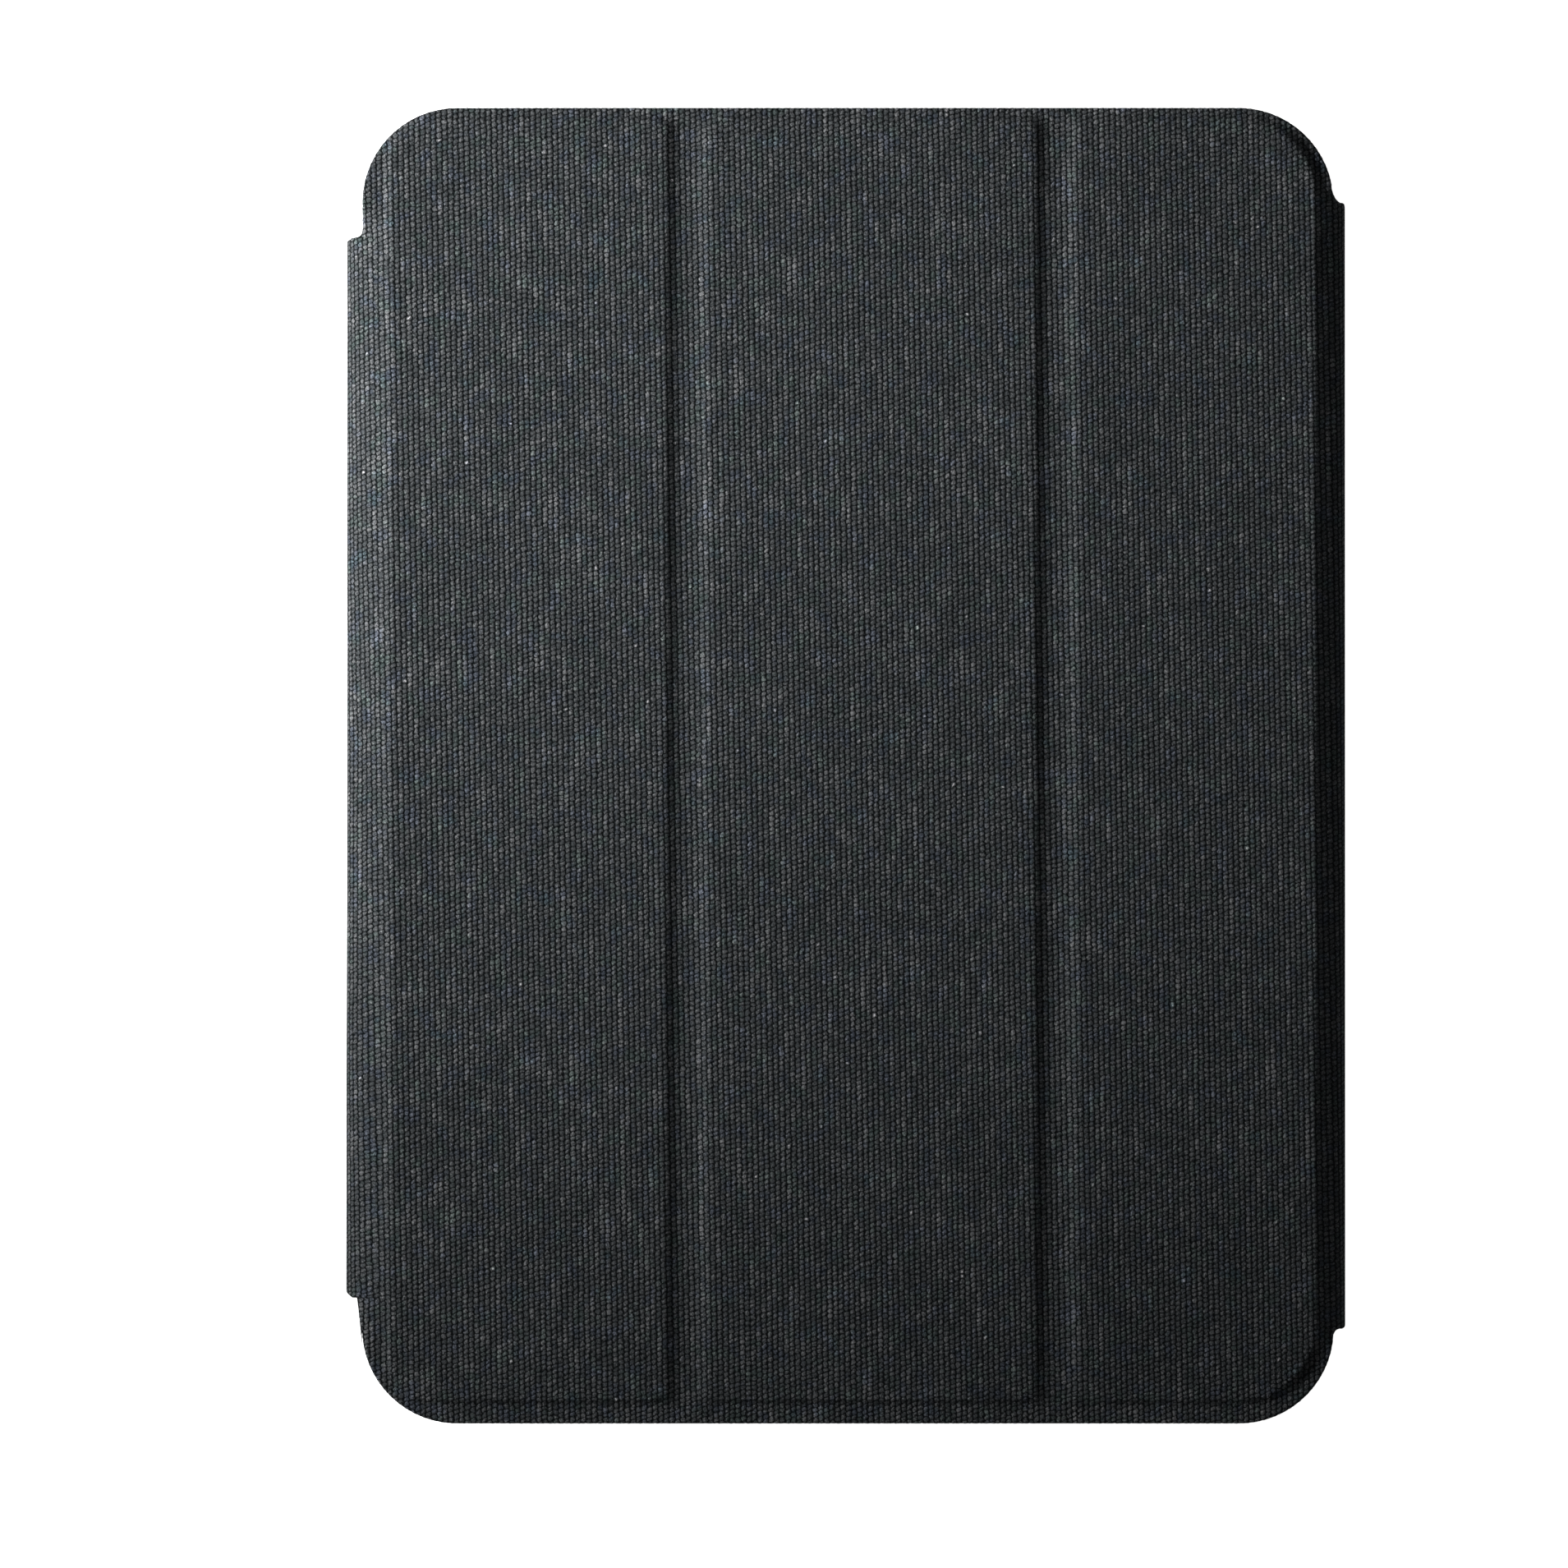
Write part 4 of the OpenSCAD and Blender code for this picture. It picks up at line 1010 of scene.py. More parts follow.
    def _towards_fold(self, points: Points, height: Points, away: Points, side: Side) -> Points:
        """Lets the slope run on down into the fold between the fold's ends.

        Args:
            points: places across and along.
            height: height of the face without the fold.
            away: distance from the board.
            side: which long side.

        Returns:
            The height with the fold.
        """
        x, y = points[:, 0], points[:, 1]
        seam = self.seam_x[side]
        wide = abs(seam - self.board_x[side])
        straight = self.rim_z + self.step * self.fall_off(away / wide, *self.fold_shape)
        beyond = (x - seam) * side.value > 0
        straight = np.where(beyond, self.web_height(x, side), straight)
        inside = smooth_step((self.fold_half[side] + self.twist - np.abs(y)) / self.twist)
        near = np.abs(x - seam) < self.fold_near
        return np.where(near, height + (straight - height) * inside, height)

    def notch_curve(self, side: Side, end: int, inset: float) -> Points:
        """The cover's edge running out into the fold's end, from the edge to the cut.

        Args:
            side: which long side.
            end: 1 at the top and -1 at the bottom.
            inset: how far the layer stays inside the cloth's edge.

        Returns:
            Points from the cover's edge to the end of the cut.
        """
        notch = self.notches[side, end]
        out = side.value * notch.out
        edge = self.edge_x[side] - side.value * inset
        cut_y = self.cut_y(side, end)
        start = np.array([edge, cut_y + end * notch.run])
        stop = np.array([edge + out, cut_y])
        past = abs(start[1]) - (self.half_l - self.corner)
        if side is Side.CLASP and past > 0:
            start[0] -= self.corner - math.sqrt(self.corner**2 - past**2)
        return bezier([start, start + np.array([0.0, -end * notch.run * notch.pull]),
                       stop + np.array([-out * notch.pull, end * notch.lean * 0.25]), stop], 12)

    def side_path(self, side: Side, end: int, inset: float, start_x: float) -> Points:
        """Free edge of an outer panel from a crease round the corner to the fold.

        Args:
            side: which long side.
            end: 1 at the top and -1 at the bottom.
            inset: how far the layer stays inside the cloth's edge.
            start_x: where the panel's crease is.

        Returns:
            Points along the edge, ending where the fold's cut ends.
        """
        radius = self.corner - inset
        centre = (self.edge_x[side] - side.value * self.corner, end * (self.half_l - self.corner))
        notch = self.notch_curve(side, end, inset)
        last = 180.0 * end
        if side is Side.CLASP:
            rise = (notch[0][1] - centre[1]) * end
            last = end * math.degrees(math.asin(min(1.0, max(0.0, rise / radius))))
        edge_y = end * (self.half_l - inset)
        return np.concatenate([
            line((start_x, edge_y), (centre[0], edge_y)),
            arc(centre, radius, 90.0 * end, last, 34),
            line(arc(centre, radius, last, last, 1)[0], notch[0]),
            notch,
        ])

    def panel_outline(self, number: int, inset: float = 0.0) -> tuple[Points, list[Points]]:
        """Outline of one panel's layer.

        Args:
            number: 0 at the spine, 1 in the middle, 2 at the clasp.
            inset: how far the layer stays inside the cloth's edge.

        Returns:
            The closed outline, and its free edges as open paths.
        """
        x0, x1 = self.edges[number]
        if number not in OUTER_SIDE:
            edge_y = self.half_l - inset
            low, high = (frayed(np.array([(a, y), (b, y)]), self.fray)
                         for a, b, y in ((x0, x1, -edge_y), (x1, x0, edge_y)))
            loop = [low[:-1], line(low[-1], high[0]), high[:-1], line(high[-1], low[0])]
            return np.concatenate(loop), [low, high]
        side = OUTER_SIDE[number]
        crease = x1 if side is Side.SPINE else x0
        upper, lower = (frayed(self.side_path(side, end, inset, crease), self.fray)
                        for end in (1, -1))
        high, low = ((self.seam_x[side], self.cut_y(side, end)) for end in (1, -1))
        loop = [upper[:-1], line(upper[-1], high, SEAM_STEP), line(high, low),
                line(low, lower[-1], SEAM_STEP), lower[::-1][:-1], line(lower[0], upper[0])]
        return np.concatenate(loop), [upper, lower]

    def panel_spots(self, number: int, outline: Points, free: list[Points]) -> Points:
        """Places inside an outline: rings round the board, rows by the edge, a loose grid.

        Args:
            number: which panel.
            outline: closed outline of the layer.
            free: its free edges.

        Returns:
            The places, one a row.
        """
        low, high = self.boards[number]
        spots = []
        for away in BOARD_ROWS:
            radii = [max(r + away, 0.1) for r in self.board_r[number]]
            spots.append(rounded_ring(low - away, high + away, *radii, 1.4))
        for path in free:
            left = sideways(path)
            spots += [(path + sign * row * left)[::2] for row in EDGE_ROWS for sign in (-1, 1)]
        loose = grid(np.arange(self.edges[number][0] + 1.0, self.edges[number][1], LOOSE_STEP),
                     np.arange(-self.half_l + 1.0, self.half_l, LOOSE_STEP))
        spots.append(loose[self.board_distance(loose, number) < -7.5])
        if number in OUTER_SIDE:
            side = OUTER_SIDE[number]
            ys = self.fold_half[side] + np.arange(0.4, self.twist + 2.0, SEAM_STEP)
            spots.append(grid(self.seam_x[side] + side.value * np.arange(0.4, 5.6, 0.5),
                              np.concatenate([ys, -ys])))
        return inside_outline(thin_out(np.concatenate(spots)), outline)

    def softened(self, plane: HeightAt, free: list[Points]) -> HeightAt:
        """The cloth's face with its free edges rounded down.

        Args:
            plane: height of the face.
            free: its free edges.

        Returns:
            The rounded face's height.
        """
        return lambda points: plane(points) - edge_drop(
            distance_to_paths(points, free), self.edge_round)

    def build_panel(self, number: int) -> list[bpy.types.Object]:
        """Makes the cloth and the lining of one panel.

        Args:
            number: which panel.

        Returns:
            The cloth and the lining.
        """
        ceiling = self.rim_z - self.cloth_t
        thick = ceiling - self.lining_z

        def plane(points: Points) -> Points:
            """Outer face of the panel's cloth."""
            return self.cloth_plane(points, number)

        def beneath(points: Points) -> Points:
            """Inner face of the cloth."""
            return plane(points) - self.cloth_t

        def lift(points: Points) -> Points:
            """Upper face of the lining, which follows the cloth where it comes down."""
            return np.minimum(beneath(points), ceiling)

        def under(points: Points) -> Points:
            """Lower face of the lining, with its free edges rounded."""
            near = distance_to_paths(points, free)
            return lift(points) - thick + edge_drop(near, thick * self.lining_round)

        outline, free = self.panel_outline(number)
        cloth = Layer(f"cover_cloth_{number + 1}", outline,
                      self.panel_spots(number, outline, free),
                      self.softened(plane, free), beneath).build()
        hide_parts(f"panel_{number + 1}_skin")
        outline, free = self.panel_outline(number, self.lining_inset)
        lining = Layer(f"cover_lining_{number + 1}", outline,
                       self.panel_spots(number, outline, free), lift, under).build()
        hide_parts(f"panel_{number + 1}_lining")
        return [cloth, lining]

    def build_crease(self, number: int) -> list[bpy.types.Object]:
        """Makes the cloth and the lining across a crease.

        Args:
            number: 0 between the first two panels, and 1 between the last two.

        Returns:
            The cloth and the lining.
        """
        x0, x1 = self.edges[number][1], self.edges[number + 1][0]

        def plane(points: Points) -> Points:
            """Outer face of the cloth, as on the nearer panel."""
            near, far = (self.cloth_plane(points, board) for board in (number, number + 1))
            return np.where(points[:, 0] < (x0 + x1) / 2, near, far)

        def level(z: float) -> HeightAt:
            """A flat face at one height."""
            return lambda points: np.full(len(points), z)

        made = []
        for part, inset in (("cloth", 0.0), ("lining", self.lining_inset)):
            half = self.half_l - inset
            corners = [(x0, -half), (x1, -half), (x1, half), (x0, half)]
            outline = np.concatenate([
                line(first, last, CREASE_STEP if first[1] == last[1] else EDGE_STEP)
                for first, last in zip(corners, corners[1:] + corners[:1])
            ])
            ends = half - np.array(EDGE_ROWS)
            rows = np.concatenate([np.arange(-half + 2.0, half - 1.0, 2.0), ends, -ends])
            spots = grid(np.linspace(x0, x1, 17)[1:-1], rows)
            faces = level(self.rim_z - self.cloth_t), level(self.lining_z)
            if part == "cloth":
                faces = (self.softened(plane, [np.array(corners[:2]), np.array(corners[2:])]),
                         lambda points: plane(points) - self.cloth_t)
            made.append(Layer(f"crease_{part}_{number + 1}", outline, spots, *faces).build())
        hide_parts(f"crease_web_{number + 1}")
        return made


# ---- studio


@dataclass
class Studio:
    """Pale floor, soft light from the spine's side and the camera above the case.

    Attributes:
        aim: where the middle of the view falls on the case.
        view_w: width of the view at that height.
        camera_z: distance from the camera to that place.
        tilt: how far the camera leans from straight down, in degrees.
        key_at: where the soft lamp stands.
        key_aim: what it points at.
        key_size: its width and height.
        key_spread: angle of its beam, in degrees.
        key_power: its power in watts.
        sky: strength of the surroundings on the case.
        floor_glow: how much of the floor's white is its own.
        floor_z: height of the floor, just under the case.
    """

    aim: tuple[float, float, float] = (-11.87, -3.6, 18.9)
    view_w: float = 303.8
    camera_z: float = 3000.0
    tilt: float = 0.5
    key_at: tuple[float, float, float] = (-554.0, 90.0, 322.0)
    key_aim: tuple[float, float, float] = (-214.0, 168.0, 10.0)
    key_size: tuple[float, float] = (320.0, 220.0)
    key_spread: float = 76.0
    key_power: float = 2.42
    sky: float = 0.08
    floor_glow: float = 1.0
    floor_z: float = -0.1

    def build(self) -> None:
        """Makes the floor, the lamp, the surroundings and the camera."""
        self._floor()
        self._lamp()
        self._surroundings()
        self._camera()
        bpy.context.scene.view_settings.view_transform = "Standard"

    def _floor(self) -> None:
        """A pale floor that reads as white and still takes the case's shadow."""
        bpy.ops.mesh.primitive_plane_add(size=6.0, location=(0.0, 0.0, self.floor_z * MM))
        floor = bpy.context.object
        floor.name = "floor"
        graph = Graph(bpy.data.materials.new("floor"))
        shader = graph.node("ShaderNodeBsdfDiffuse", None, {"Color": (0.8, 0.8, 0.8)})
        glow = graph.node("ShaderNodeEmission", None,
                          {"Color": (1.0, 1.0, 1.0), "Strength": graph.seen() * self.floor_glow})
        both = graph.node("ShaderNodeAddShader", None, {0: shader, 1: glow})
        graph.node("ShaderNodeOutputMaterial", None, {"Surface": both})
        floor.data.materials.append(graph.owner)

    def _lamp(self) -> None:
        """The soft lamp, low at the spine's side."""
        data = bpy.data.lights.new("key", "AREA")
        data.shape = "RECTANGLE"
        data.size, data.size_y = (side * MM for side in self.key_size)
        data.energy = self.key_power
        data.spread = math.radians(self.key_spread)
        lamp = bpy.data.objects.new("key", data)
        bpy.context.scene.collection.objects.link(lamp)
        lamp.location = Vector(self.key_at) * MM
        way = Vector(self.key_aim) * MM - lamp.location
        lamp.rotation_euler = way.to_track_quat("-Z", "Y").to_euler()
        lamp.visible_camera = False

    def _surroundings(self) -> None:
        """Even pale surroundings, which look white from the camera."""
        graph = Graph(bpy.data.worlds.new("surroundings"))
        bpy.context.scene.world = graph.owner
        level = graph.node("ShaderNodeMapRange", None,
                           {"Value": graph.seen(), "To Min": self.sky, "To Max": 1.0})
        background = graph.node("ShaderNodeBackground", None, {"Strength": level})
        graph.node("ShaderNodeOutputWorld", None, {"Surface": background})

    def _camera(self) -> None:
        """The camera, nearly straight above the case."""
        data = bpy.data.cameras.new("camera")
        data.sensor_width = 36.0
        data.lens = self.camera_z * data.sensor_width / self.view_w
        data.clip_start, data.clip_end = 0.01, 50.0
        camera = bpy.data.objects.new("camera", data)
        bpy.context.scene.collection.objects.link(camera)
        lean = math.radians(self.tilt)
        back = Vector((0.0, -math.sin(lean), math.cos(lean))) * self.camera_z
        camera.location = (Vector(self.aim) + back) * MM
        camera.rotation_euler = (lean, 0.0, 0.0)
        bpy.context.scene.camera = camera


# ---- finishes by slot


class Finish(Enum):
    """Finishes of the carried parts, by the record's material slots."""

    CLOTH = "woven_cloth"
    SUEDE = "suede_lining"
    BOARD = "cover_board"
    TRAY = "tray_plastic"
    FELT = "felt"
    RING = "ring_plastic"
    STRIP = "strip_steel"
    MAGNET = "magnet"
    KEYBOARD = "keyboard_plastic"
    DECK = "deck_plastic"
    KEYCAP = "keycap_plastic"
    SILICONE = "silicone"
    FILM = "film"
    CIRCUIT = "circuit"
    CELL = "cell_wrap"
    PORT = "port_steel"
    RUBBER = "strip_rubber"
    SCREW = "screw_steel"
    WINDOW = "window"
    TOUCH = "touch_plate"


RECIPES = {
    Finish.CLOTH: WovenCloth(),
    Finish.SUEDE: Suede((0.035, 0.036, 0.04)),
    Finish.BOARD: Suede((0.05, 0.05, 0.052), 0.02),
    Finish.TRAY: Moulded((0.017, 0.0175, 0.019), 0.62, 2.6, 0.02, 0.35),
    Finish.FELT: Suede((0.06, 0.062, 0.068), 0.08),
    Finish.RING: Moulded((0.012, 0.012, 0.013), 0.28, 3.0, 0.004),
    Finish.STRIP: Metal((0.5, 0.5, 0.52), 0.35),
    Finish.MAGNET: Metal((0.6, 0.6, 0.6), 0.25),
    Finish.KEYBOARD: Moulded((0.03, 0.031, 0.034), 0.62, 3.4, 0.014, 0.35),
    Finish.DECK: Moulded((0.036, 0.037, 0.041), 0.64, 3.4, 0.012, 0.35),
    Finish.KEYCAP: Moulded((0.014, 0.0145, 0.016), 0.58, 4.5, 0.008, 0.4),
    Finish.SILICONE: Moulded((0.35, 0.36, 0.37), 0.6, 1.5, 0.01),
    Finish.FILM: Moulded((0.5, 0.46, 0.33), 0.4, 0.8, 0.004),
    Finish.CIRCUIT: Moulded((0.015, 0.09, 0.04), 0.4, 1.2, 0.02),
    Finish.CELL: Moulded((0.12, 0.125, 0.13), 0.35, 0.9, 0.02),
    Finish.PORT: Metal((0.5, 0.5, 0.52), 0.28),
    Finish.RUBBER: Moulded((0.01, 0.01, 0.011), 0.78, 2.4, 0.02, 0.3),
    Finish.SCREW: Metal((0.12, 0.12, 0.13), 0.35),
    Finish.WINDOW: Moulded((0.62, 0.66, 0.65), 0.2, 1.0, 0.002),
    Finish.TOUCH: Moulded((0.04, 0.041, 0.046), 0.6, 6.0, 0.004, 0.35),
}


class Wardrobe:
    """Every finish, made once and kept by its slot."""

    def __init__(self) -> None:
        """Makes the materials."""
        self.made = {finish: recipe.material(Graph(bpy.data.materials.new(finish.value)))
                     for finish, recipe in RECIPES.items()}

    def dress(self, piece: bpy.types.Object, finish: Finish) -> None:
        """Gives a piece its only material.

        Args:
            piece: what is dressed.
            finish: what it wears.
        """
        piece.data.materials.clear()
        piece.data.materials.append(self.made[finish])
        LOG.info("%s wears %s", piece.name, finish.value)


# ---- folds


@dataclass
class Folds:
    """Spine and clasp leaves, and the cloth that hinges them to the cover and the back.

    Attributes:
        cover: what they hang on.
        cloth_t: thickness of the cloth.
        lining_t: thickness of the lining.
        stiffener_t: thickness of the board in a leaf.
        edge_round: roundness of the cloth's cut ends.
        lining_round: roundness of the lining's.
        spine_cloth: length of cloth over the spine's leaf.
        back_run: how far the back's fold runs out level from its seam.
        back_turn_z: height up to which it turns into the spine.
        back_hurry: how soon its ends reach their full lean.
        clasp_low: height of the clasp's free edge.
        clasp_corner: radius of that edge's corners.
        clasp_bow: how far the clasp's fold bows out.
        spine_bow: places along the case, and how far the spine's fold bows out there.
    """

    cover: Cover
    cloth_t: float = 0.7
    lining_t: float = 0.4
    stiffener_t: float = 0.8
    edge_round: float = 0.3
    lining_round: float = 0.1
    spine_cloth: float = 8.2
    back_run: float = 2.5
    back_turn_z: float = 1.8
    back_hurry: float = 1.6
    clasp_low: float = 2.6
    clasp_corner: float = 2.5
    clasp_bow: float = 0.75
    spine_bow: tuple = ((-96.0, -58.0, 5.0, 40.0, 100.0), (-1.1, -1.0, 0.0, -0.3, -0.3))

    def __post_init__(self) -> None:
        """Measures the hinges' cloth."""
        self.runs = {side: lengths(self.cover.webs[side])[-1] for side in Side}
        self.bows = {Side.SPINE: lambda y: np.interp(y, *self.spine_bow),
                     Side.CLASP: lambda y: np.full(np.shape(y), self.clasp_bow)}

    def build(self) -> list[tuple[bpy.types.Object, Finish]]:
        """Makes every band of the folds.

        Returns:
            Each piece and its finish.
        """
        return [
            *self._hinge(Side.SPINE, "cover_hinge"),
            *self._leaf("spine", *self._spine_leaf()),
            *self._hinge(Side.CLASP, "clasp_hinge"),
            *self._leaf("clasp", *self._clasp_leaf()),
            *self._back_hinge(),
        ]

    def _bands(self, name: str, curve: Points, reach: tuple, start: float, between: float = 0.0,
               bow: HeightAt = np.zeros_like) -> list[tuple[bpy.types.Object, Finish]]:
        """The cloth and the lining over one curve.

        Args:
            name: start of the pieces' names.
            curve: points in X and Z along the outer face.
            reach: where the bands end along Y.
            start: place across the cloth at the curve's first point.
            between: thickness of what lies between cloth and lining.
            bow: how far the curve's middle bows out.

        Returns:
            Both pieces and their finishes.
        """
        deep = self.cloth_t + between
        layers = (("cloth", Finish.CLOTH, 0.0, self.cloth_t, self.edge_round),
                  ("lining", Finish.SUEDE, deep, deep + self.lining_t, self.lining_round))
        return [(Strip(f"{name}_{part}", curve, outer, inner, reach, start, soft, bow).build(),
                 finish) for part, finish, outer, inner, soft in layers]

    def _ends(self, side: Side, lean: Points) -> tuple[Points, Points]:
        """Both ends of a band along Y, which fall back by a share of the notch's lean.

        Args:
            side: which long side.
            lean: the share at each point of the curve.

        Returns:
            The low and the high end at each point.
        """
        low, high = (self.cover.cut_y(side, end) - end * self.cover.notches[side, end].lean * lean
                     for end in (-1, 1))
        return low, high

    def _hinge(self, side: Side, hinge: str) -> list:
        """The two layers that bend between a panel and a leaf.

        Args:
            side: which long side.
            hinge: start of the pieces' names.

        Returns:
            Each piece and its finish.
        """
        cover = self.cover
        curve = cover.webs[side][::side.value]
        edge = cover.edge_x[side]
        past = (curve[:, 0] - edge) * side.value
        outer = abs(cover.fold_x[side] - edge)
        reach = []
        for end in (-1, 1):
            notch = cover.notches[side, end]
            share = np.clip((past - notch.out) / max(outer - notch.out, 0.1), 0.0, 1.0)
            reach.append(cover.cut_y(side, end) - end * notch.lean * share)
        start = cover.seam_x[side] - (self.runs[side] if side is Side.SPINE else 0.0)
        made = self._bands(hinge, curve, tuple(reach), start, bow=self.bows[side])
        for band, _ in made:
            if side is Side.SPINE:
                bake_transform(band)
            else:
                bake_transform(band)
        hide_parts(f"{hinge}_web")
        return made

    def _spine_leaf(self) -> tuple[Points, tuple, float]:
        """Curve, ends and start of the spine's leaf.

        Returns:
            Points in X and Z, both ends along Y, and the cloth's place at the first point.
        """
        side = Side.SPINE
        top = np.array([self.cover.fold_x[side], self.cover.fold_z])
        low = np.array([top[0], span("spine_skin")[0][2]])
        start = self.cover.seam_x[side] - self.runs[side] - abs(top[1] - low[1])
        return np.linspace(low, top, 12), self._ends(side, np.ones(12)), start

    def _clasp_leaf(self) -> tuple[Points, tuple, float]:
        """Curve, ends and start of the clasp's leaf, whose free edge has round corners.

        Returns:
            Points in X and Z, both ends along Y, and the cloth's place at the first point.
        """
        side, corner = Side.CLASP, self.clasp_corner
        top = np.array([self.cover.fold_x[side], self.cover.fold_z])
        lean = self.cover.fold_lean[side]
        long = (top[1] - self.clasp_low) / math.cos(lean)
        turn = np.sin(np.linspace(0.0, math.pi / 2, 9))
        down = np.concatenate([np.linspace(0.0, long - corner, 12)[:-1],
                               long - corner * (1 - turn)])
        back = edge_drop(long - down, corner)
        low, high = self._ends(side, np.ones(len(down)))
        curve = top - down[:, None] * np.array([math.sin(lean), math.cos(lean)])
        return curve, (low + back, high - back), self.cover.seam_x[side] + self.runs[side]

    def _leaf(self, leaf: str, curve: Points, reach: tuple, start: float) -> list:
        """The two flat layers of a leaf, outside and inside its stiffener.

        Args:
            leaf: the leaf's body.
            curve: points in X and Z along its outer face.
            reach: where it ends along Y.
            start: the cloth's place at the first point.

        Returns:
            Each piece and its finish.
        """
        made = self._bands(leaf, curve, reach, start, self.stiffener_t)
        for (band, _), node in zip(made, ("skin", "lining")):
            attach(band, leaf)
            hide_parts(f"{leaf}_{node}")
        return made

    def _back_hinge(self) -> list:
        """The two layers that bend between the back and the spine.

        Returns:
            Each piece and its finish.
        """
        side = Side.SPINE
        seam_x = span("back_hinge_web")[1][0]
        foot = np.array([self.cover.fold_x[side], span("spine_skin")[0][2]])
        curve = bezier([(seam_x, 0.0), (seam_x - self.back_run, 0.0),
                        (foot[0], self.back_turn_z), foot], 20)
        share = smooth_step(np.linspace(0.0, 1.0, len(curve)) * self.back_hurry)
        start = (self.cover.seam_x[side] - self.runs[side] - self.spine_cloth
                 - lengths(curve)[-1])
        made = self._bands("back_hinge", curve, self._ends(side, share), start)
        for band, _ in made:
            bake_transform(band)
        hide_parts("back_hinge_web")
        return made


# ---- back


@dataclass
class Back:
    """Cloth wrapped over the back board, with its camera hole.

    Attributes:
        cloth_t: thickness of the cloth.
        edge_round: roundness of the wrapped edge.
        rim: width of cloth that is turned over the board's edge.
        corner: radius of the back's corners.
        step: distance between points round the edge.
        loose: distance between points away from it.
    """

    cloth_t: float = 0.7
    edge_round: float = 0.9
    rim: float = 1.2
    corner: float = 17.8
    step: float = 1.6
    loose: float = 6.0

    def build(self) -> bpy.types.Object:
        """Makes the back's cloth as one wrapped layer."""
        (x0, y0, z0), (x1, y1, z1) = span("back_skin")
        ring_low, ring_high = span("camera_ring")
        outline = rounded_ring((x0, y0), (x1, y1), self.corner, self.corner, self.step, 34)
        closed = np.concatenate([outline, outline[:1]])
        centre, (reach, _) = middle_and_half(ring_low, ring_high)
        middle, half = middle_and_half(*span("back_skin"))
        spots = [
            rounded_ring(middle - half + inward, middle + half - inward,
                         self.corner - inward, self.corner - inward, self.step)
            for inward in BACK_ROWS
        ]
        spots.append(grid(np.arange(x0 + 9, x1 - 8, self.loose),
                          np.arange(y0 + 9, y1 - 8, self.loose)))
        every = np.concatenate(spots)
        every = every[np.linalg.norm(every - centre, axis=1) > reach + 0.3]
        seam_half = span("back_hinge_web")[1][1]

        def bottom(points: Points) -> Points:
            """Outer face, rounded at its edge but for the seam of the fold."""
            drop = edge_drop(distance_to_paths(points, [closed]), self.edge_round)
            at_seam = (points[:, 0] < x0 + 2 * self.edge_round) & (
                np.abs(points[:, 1]) < seam_half)
            return z0 + np.where(at_seam, 0.0, drop)

        def top(points: Points) -> Points:
            """Inner face, and the turned-over rim round it."""
            near = distance_to_paths(points, [closed])
            return np.where(near < self.rim, z1, z0 + self.cloth_t)

        cloth = Layer("back_cloth", outline, inside_outline(every, outline), top, bottom,
                      arc(centre, reach, 0, 360, 48)).build()
        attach(cloth, "back_shell")
        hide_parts("back_skin")
        return cloth


# ---- keyboard


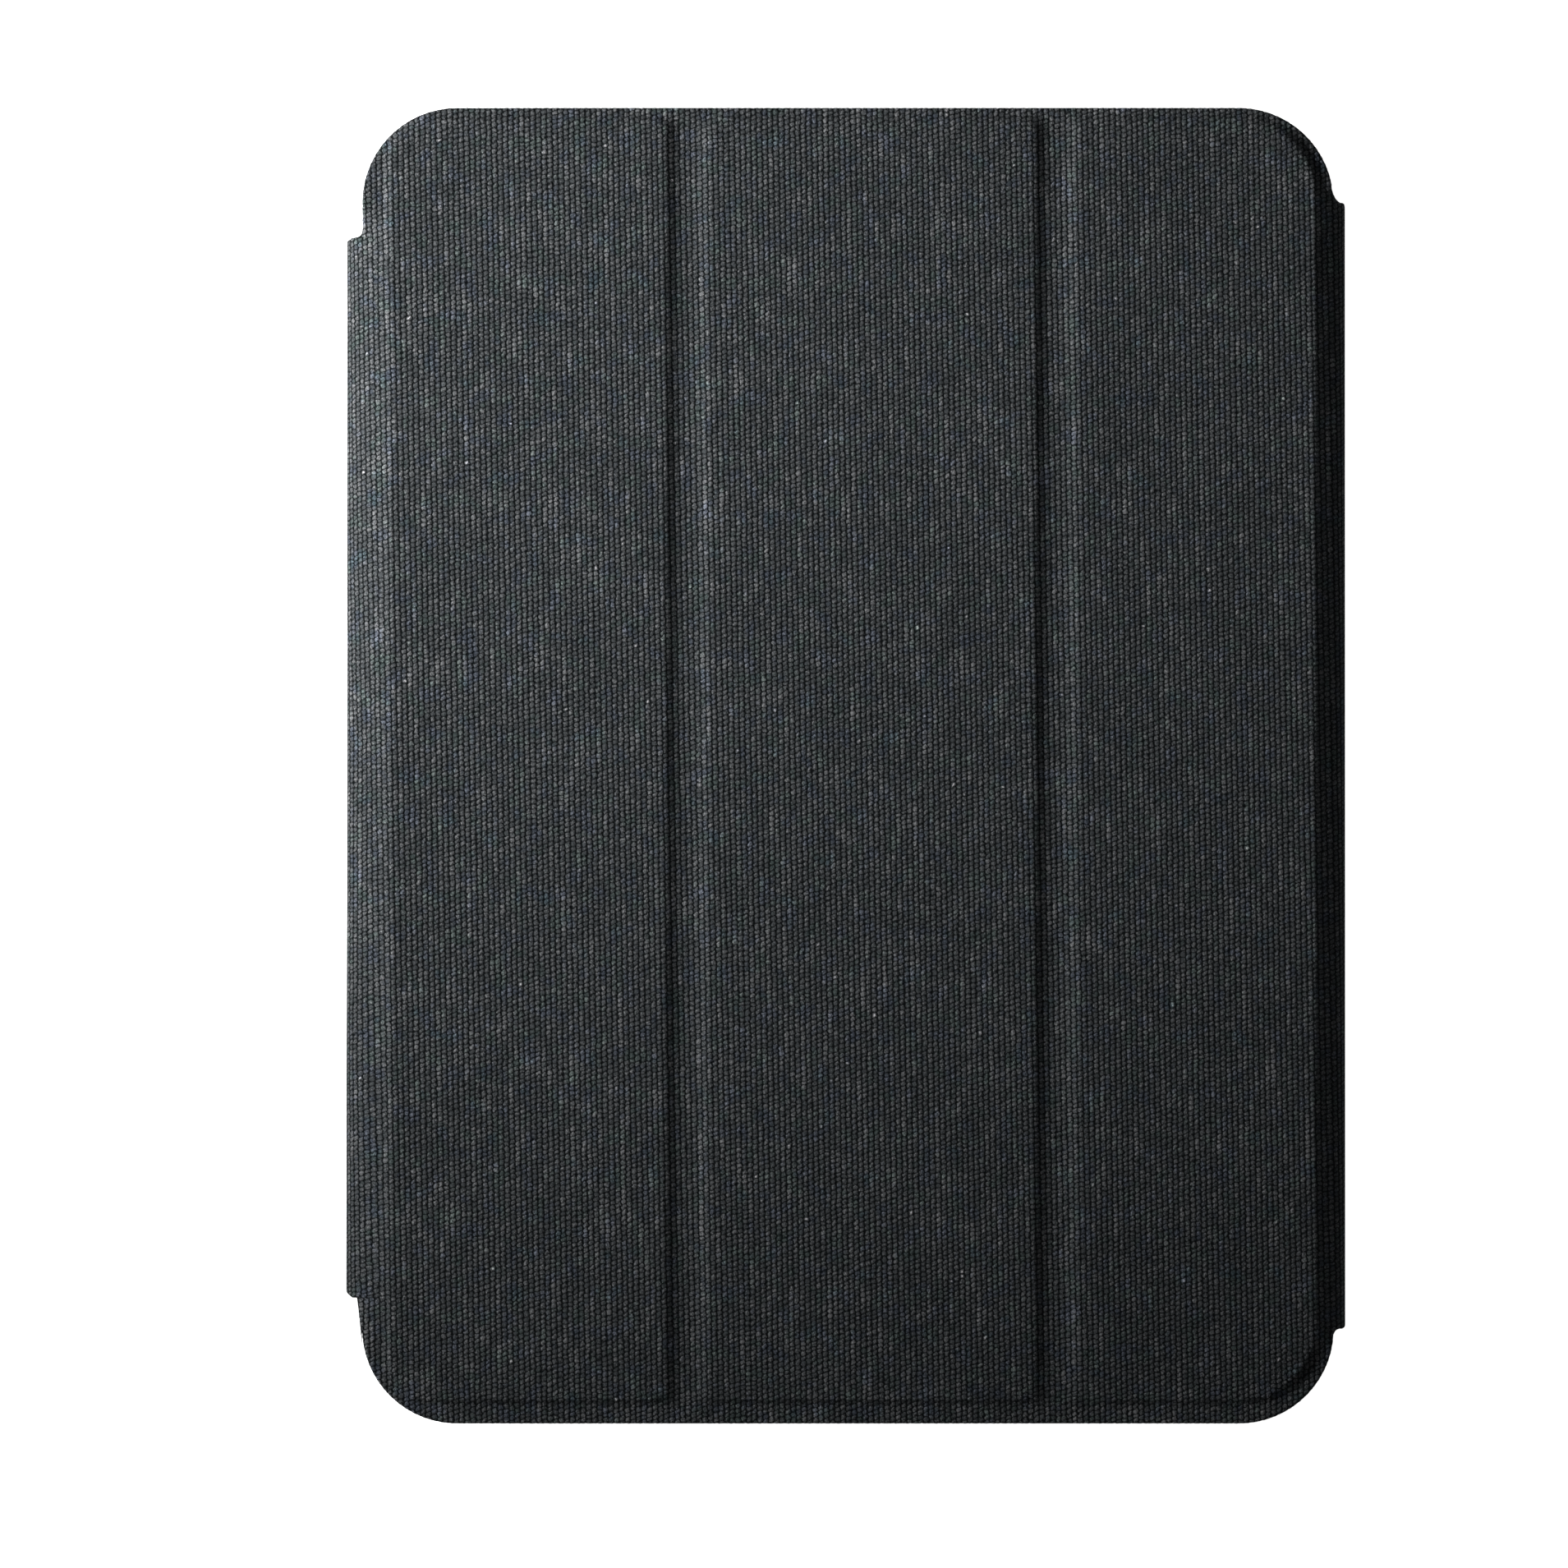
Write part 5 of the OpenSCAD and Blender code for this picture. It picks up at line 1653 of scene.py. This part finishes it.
@dataclass
class Keycaps:
    """Keycaps with rounded shoulders and a shallow dish, one for each solid of a key node.

    Attributes:
        skirt: height of a cap.
        flange: width of the flange round its foot.
        flange_t: thickness of the flange.
        corner: radius of its corners.
        flange_corner: radius of the flange's.
        shoulder: roundness of the edge round its top.
        dish: depth of the hollow in its top.
    """

    skirt: float = 1.7
    flange: float = 0.6
    flange_t: float = 0.3
    corner: float = 1.3
    flange_corner: float = 0.5
    shoulder: float = 0.45
    dish: float = 0.14

    @staticmethod
    def solids(node: str) -> list[tuple[Points, Points]]:
        """Lowest and highest corner of each separate solid of a node.

        Args:
            node: name of a CAD node.

        Returns:
            One pair of corners a solid, in millimetres, sorted along Y.
        """
        work = bmesh.new()
        work.from_mesh(frame["nodes"][node].data)
        bmesh.ops.remove_doubles(work, verts=work.verts, dist=1e-6)
        left = set(work.verts)
        found = []
        while left:
            group, front = set(), [left.pop()]
            while front:
                corner = front.pop()
                group.add(corner)
                fresh = {edge.other_vert(corner) for edge in corner.link_edges} & left
                left -= fresh
                front += fresh
            places = np.array([tuple(corner.co) for corner in group]) / MM
            found.append((places.min(0), places.max(0)))
        work.free()
        return sorted(found, key=lambda box: box[0][1])

    def _levels(self, top: float, half: Points) -> list[tuple[float, float, float]]:
        """Inset, height and corner radius of each ring of a cap, from its foot up.

        Args:
            top: height of the cap's top.
            half: half its size without the flange.

        Returns:
            One row a ring.
        """
        foot = top - self.skirt
        lip = foot + self.flange_t
        levels = [(-self.flange, foot, self.flange_corner),
                  (-self.flange, lip, self.flange_corner),
                  (0.0, lip, self.corner), (0.0, top - self.shoulder, self.corner)]
        for turn in (25, 50, 70, 90):
            angle = math.radians(turn)
            levels.append((self.shoulder * (1 - math.cos(angle)),
                           top - self.shoulder * (1 - math.sin(angle)), self.corner))
        depth = min(half) - self.shoulder
        for share in (0.3, 0.6, 0.85):
            levels.append((self.shoulder + depth * share,
                           top - self.dish * (1 - (1 - share) ** 2), self.corner))
        return levels

    def _cap(self, low: Points, high: Points) -> tuple[Points, list]:
        """Corners and faces of one keycap inside a solid's box.

        Args:
            low: the box's lowest corner.
            high: its highest corner.

        Returns:
            The corners, and the corner numbers of each face.
        """
        middle, half = middle_and_half(low, high)
        half = half - self.flange
        corners, faces = [], []
        for inset, z, radius in self._levels(high[2], half):
            size = half - inset
            r = min(radius, float(min(size)) * (0.98 if inset <= self.shoulder else 0.9))
            for cx, cy, first in ((1, 1, 0), (-1, 1, 90), (-1, -1, 180), (1, -1, 270)):
                turn = arc(middle + np.array([cx, cy]) * (size - r), r, first, first + 112.5, 5)
                corners += [(x, y, z) for x, y in turn]
        count = 20
        for row in range(0, len(corners) - count, count):
            for i in range(count):
                j = (i + 1) % count
                faces.append((row + i, row + j, row + count + j, row + count + i))
        faces.append(tuple(range(len(corners) - count, len(corners))))
        faces.append(tuple(reversed(range(count))))
        return np.array(corners), faces

    def build(self, node: str) -> bpy.types.Object:
        """Makes the keycaps of one key node.

        Args:
            node: name of the CAD node.

        Returns:
            All its caps as one piece.
        """
        corners, faces, first = [], [], 0
        for low, high in self.solids(node):
            places, sides = self._cap(low, high)
            corners.append(places)
            faces += [tuple(first + corner for corner in side) for side in sides]
            first += len(places)
        caps = add_mesh(f"{node}_caps", np.concatenate(corners), faces, 50.0)
        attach(caps, node)
        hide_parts(node)
        return caps


def main() -> None:
    """Builds and dresses the case, one sub-assembly after the other."""
    logging.basicConfig(level=logging.INFO, format="%(name)s: %(message)s")
    Studio().build()
    wardrobe = Wardrobe()
    layers = Finish.CLOTH, Finish.SUEDE

    cover = Cover()
    for number in range(3):
        for piece, finish in zip(cover.build_panel(number), layers):
            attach(piece, f"cover_panel_{number + 1}")
            wardrobe.dress(piece, finish)
    for number in range(2):
        for piece, finish in zip(cover.build_crease(number), layers):
            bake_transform(piece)
            wardrobe.dress(piece, finish)
    for piece, finish in Folds(cover).build():
        wardrobe.dress(piece, finish)
    wardrobe.dress(Back().build(), Finish.CLOTH)

    caps = Keycaps()
    for row in frame["record"]["subparts"]:
        node, slot = row["node"], row["material_slot"]
        if node.startswith(("key_", "keys_")):
            wardrobe.dress(caps.build(node), Finish.KEYCAP)
        elif not frame["nodes"][node].hide_render:
            wardrobe.dress(frame["nodes"][node], Finish(slot))


if __name__ == "__main__":
    main()
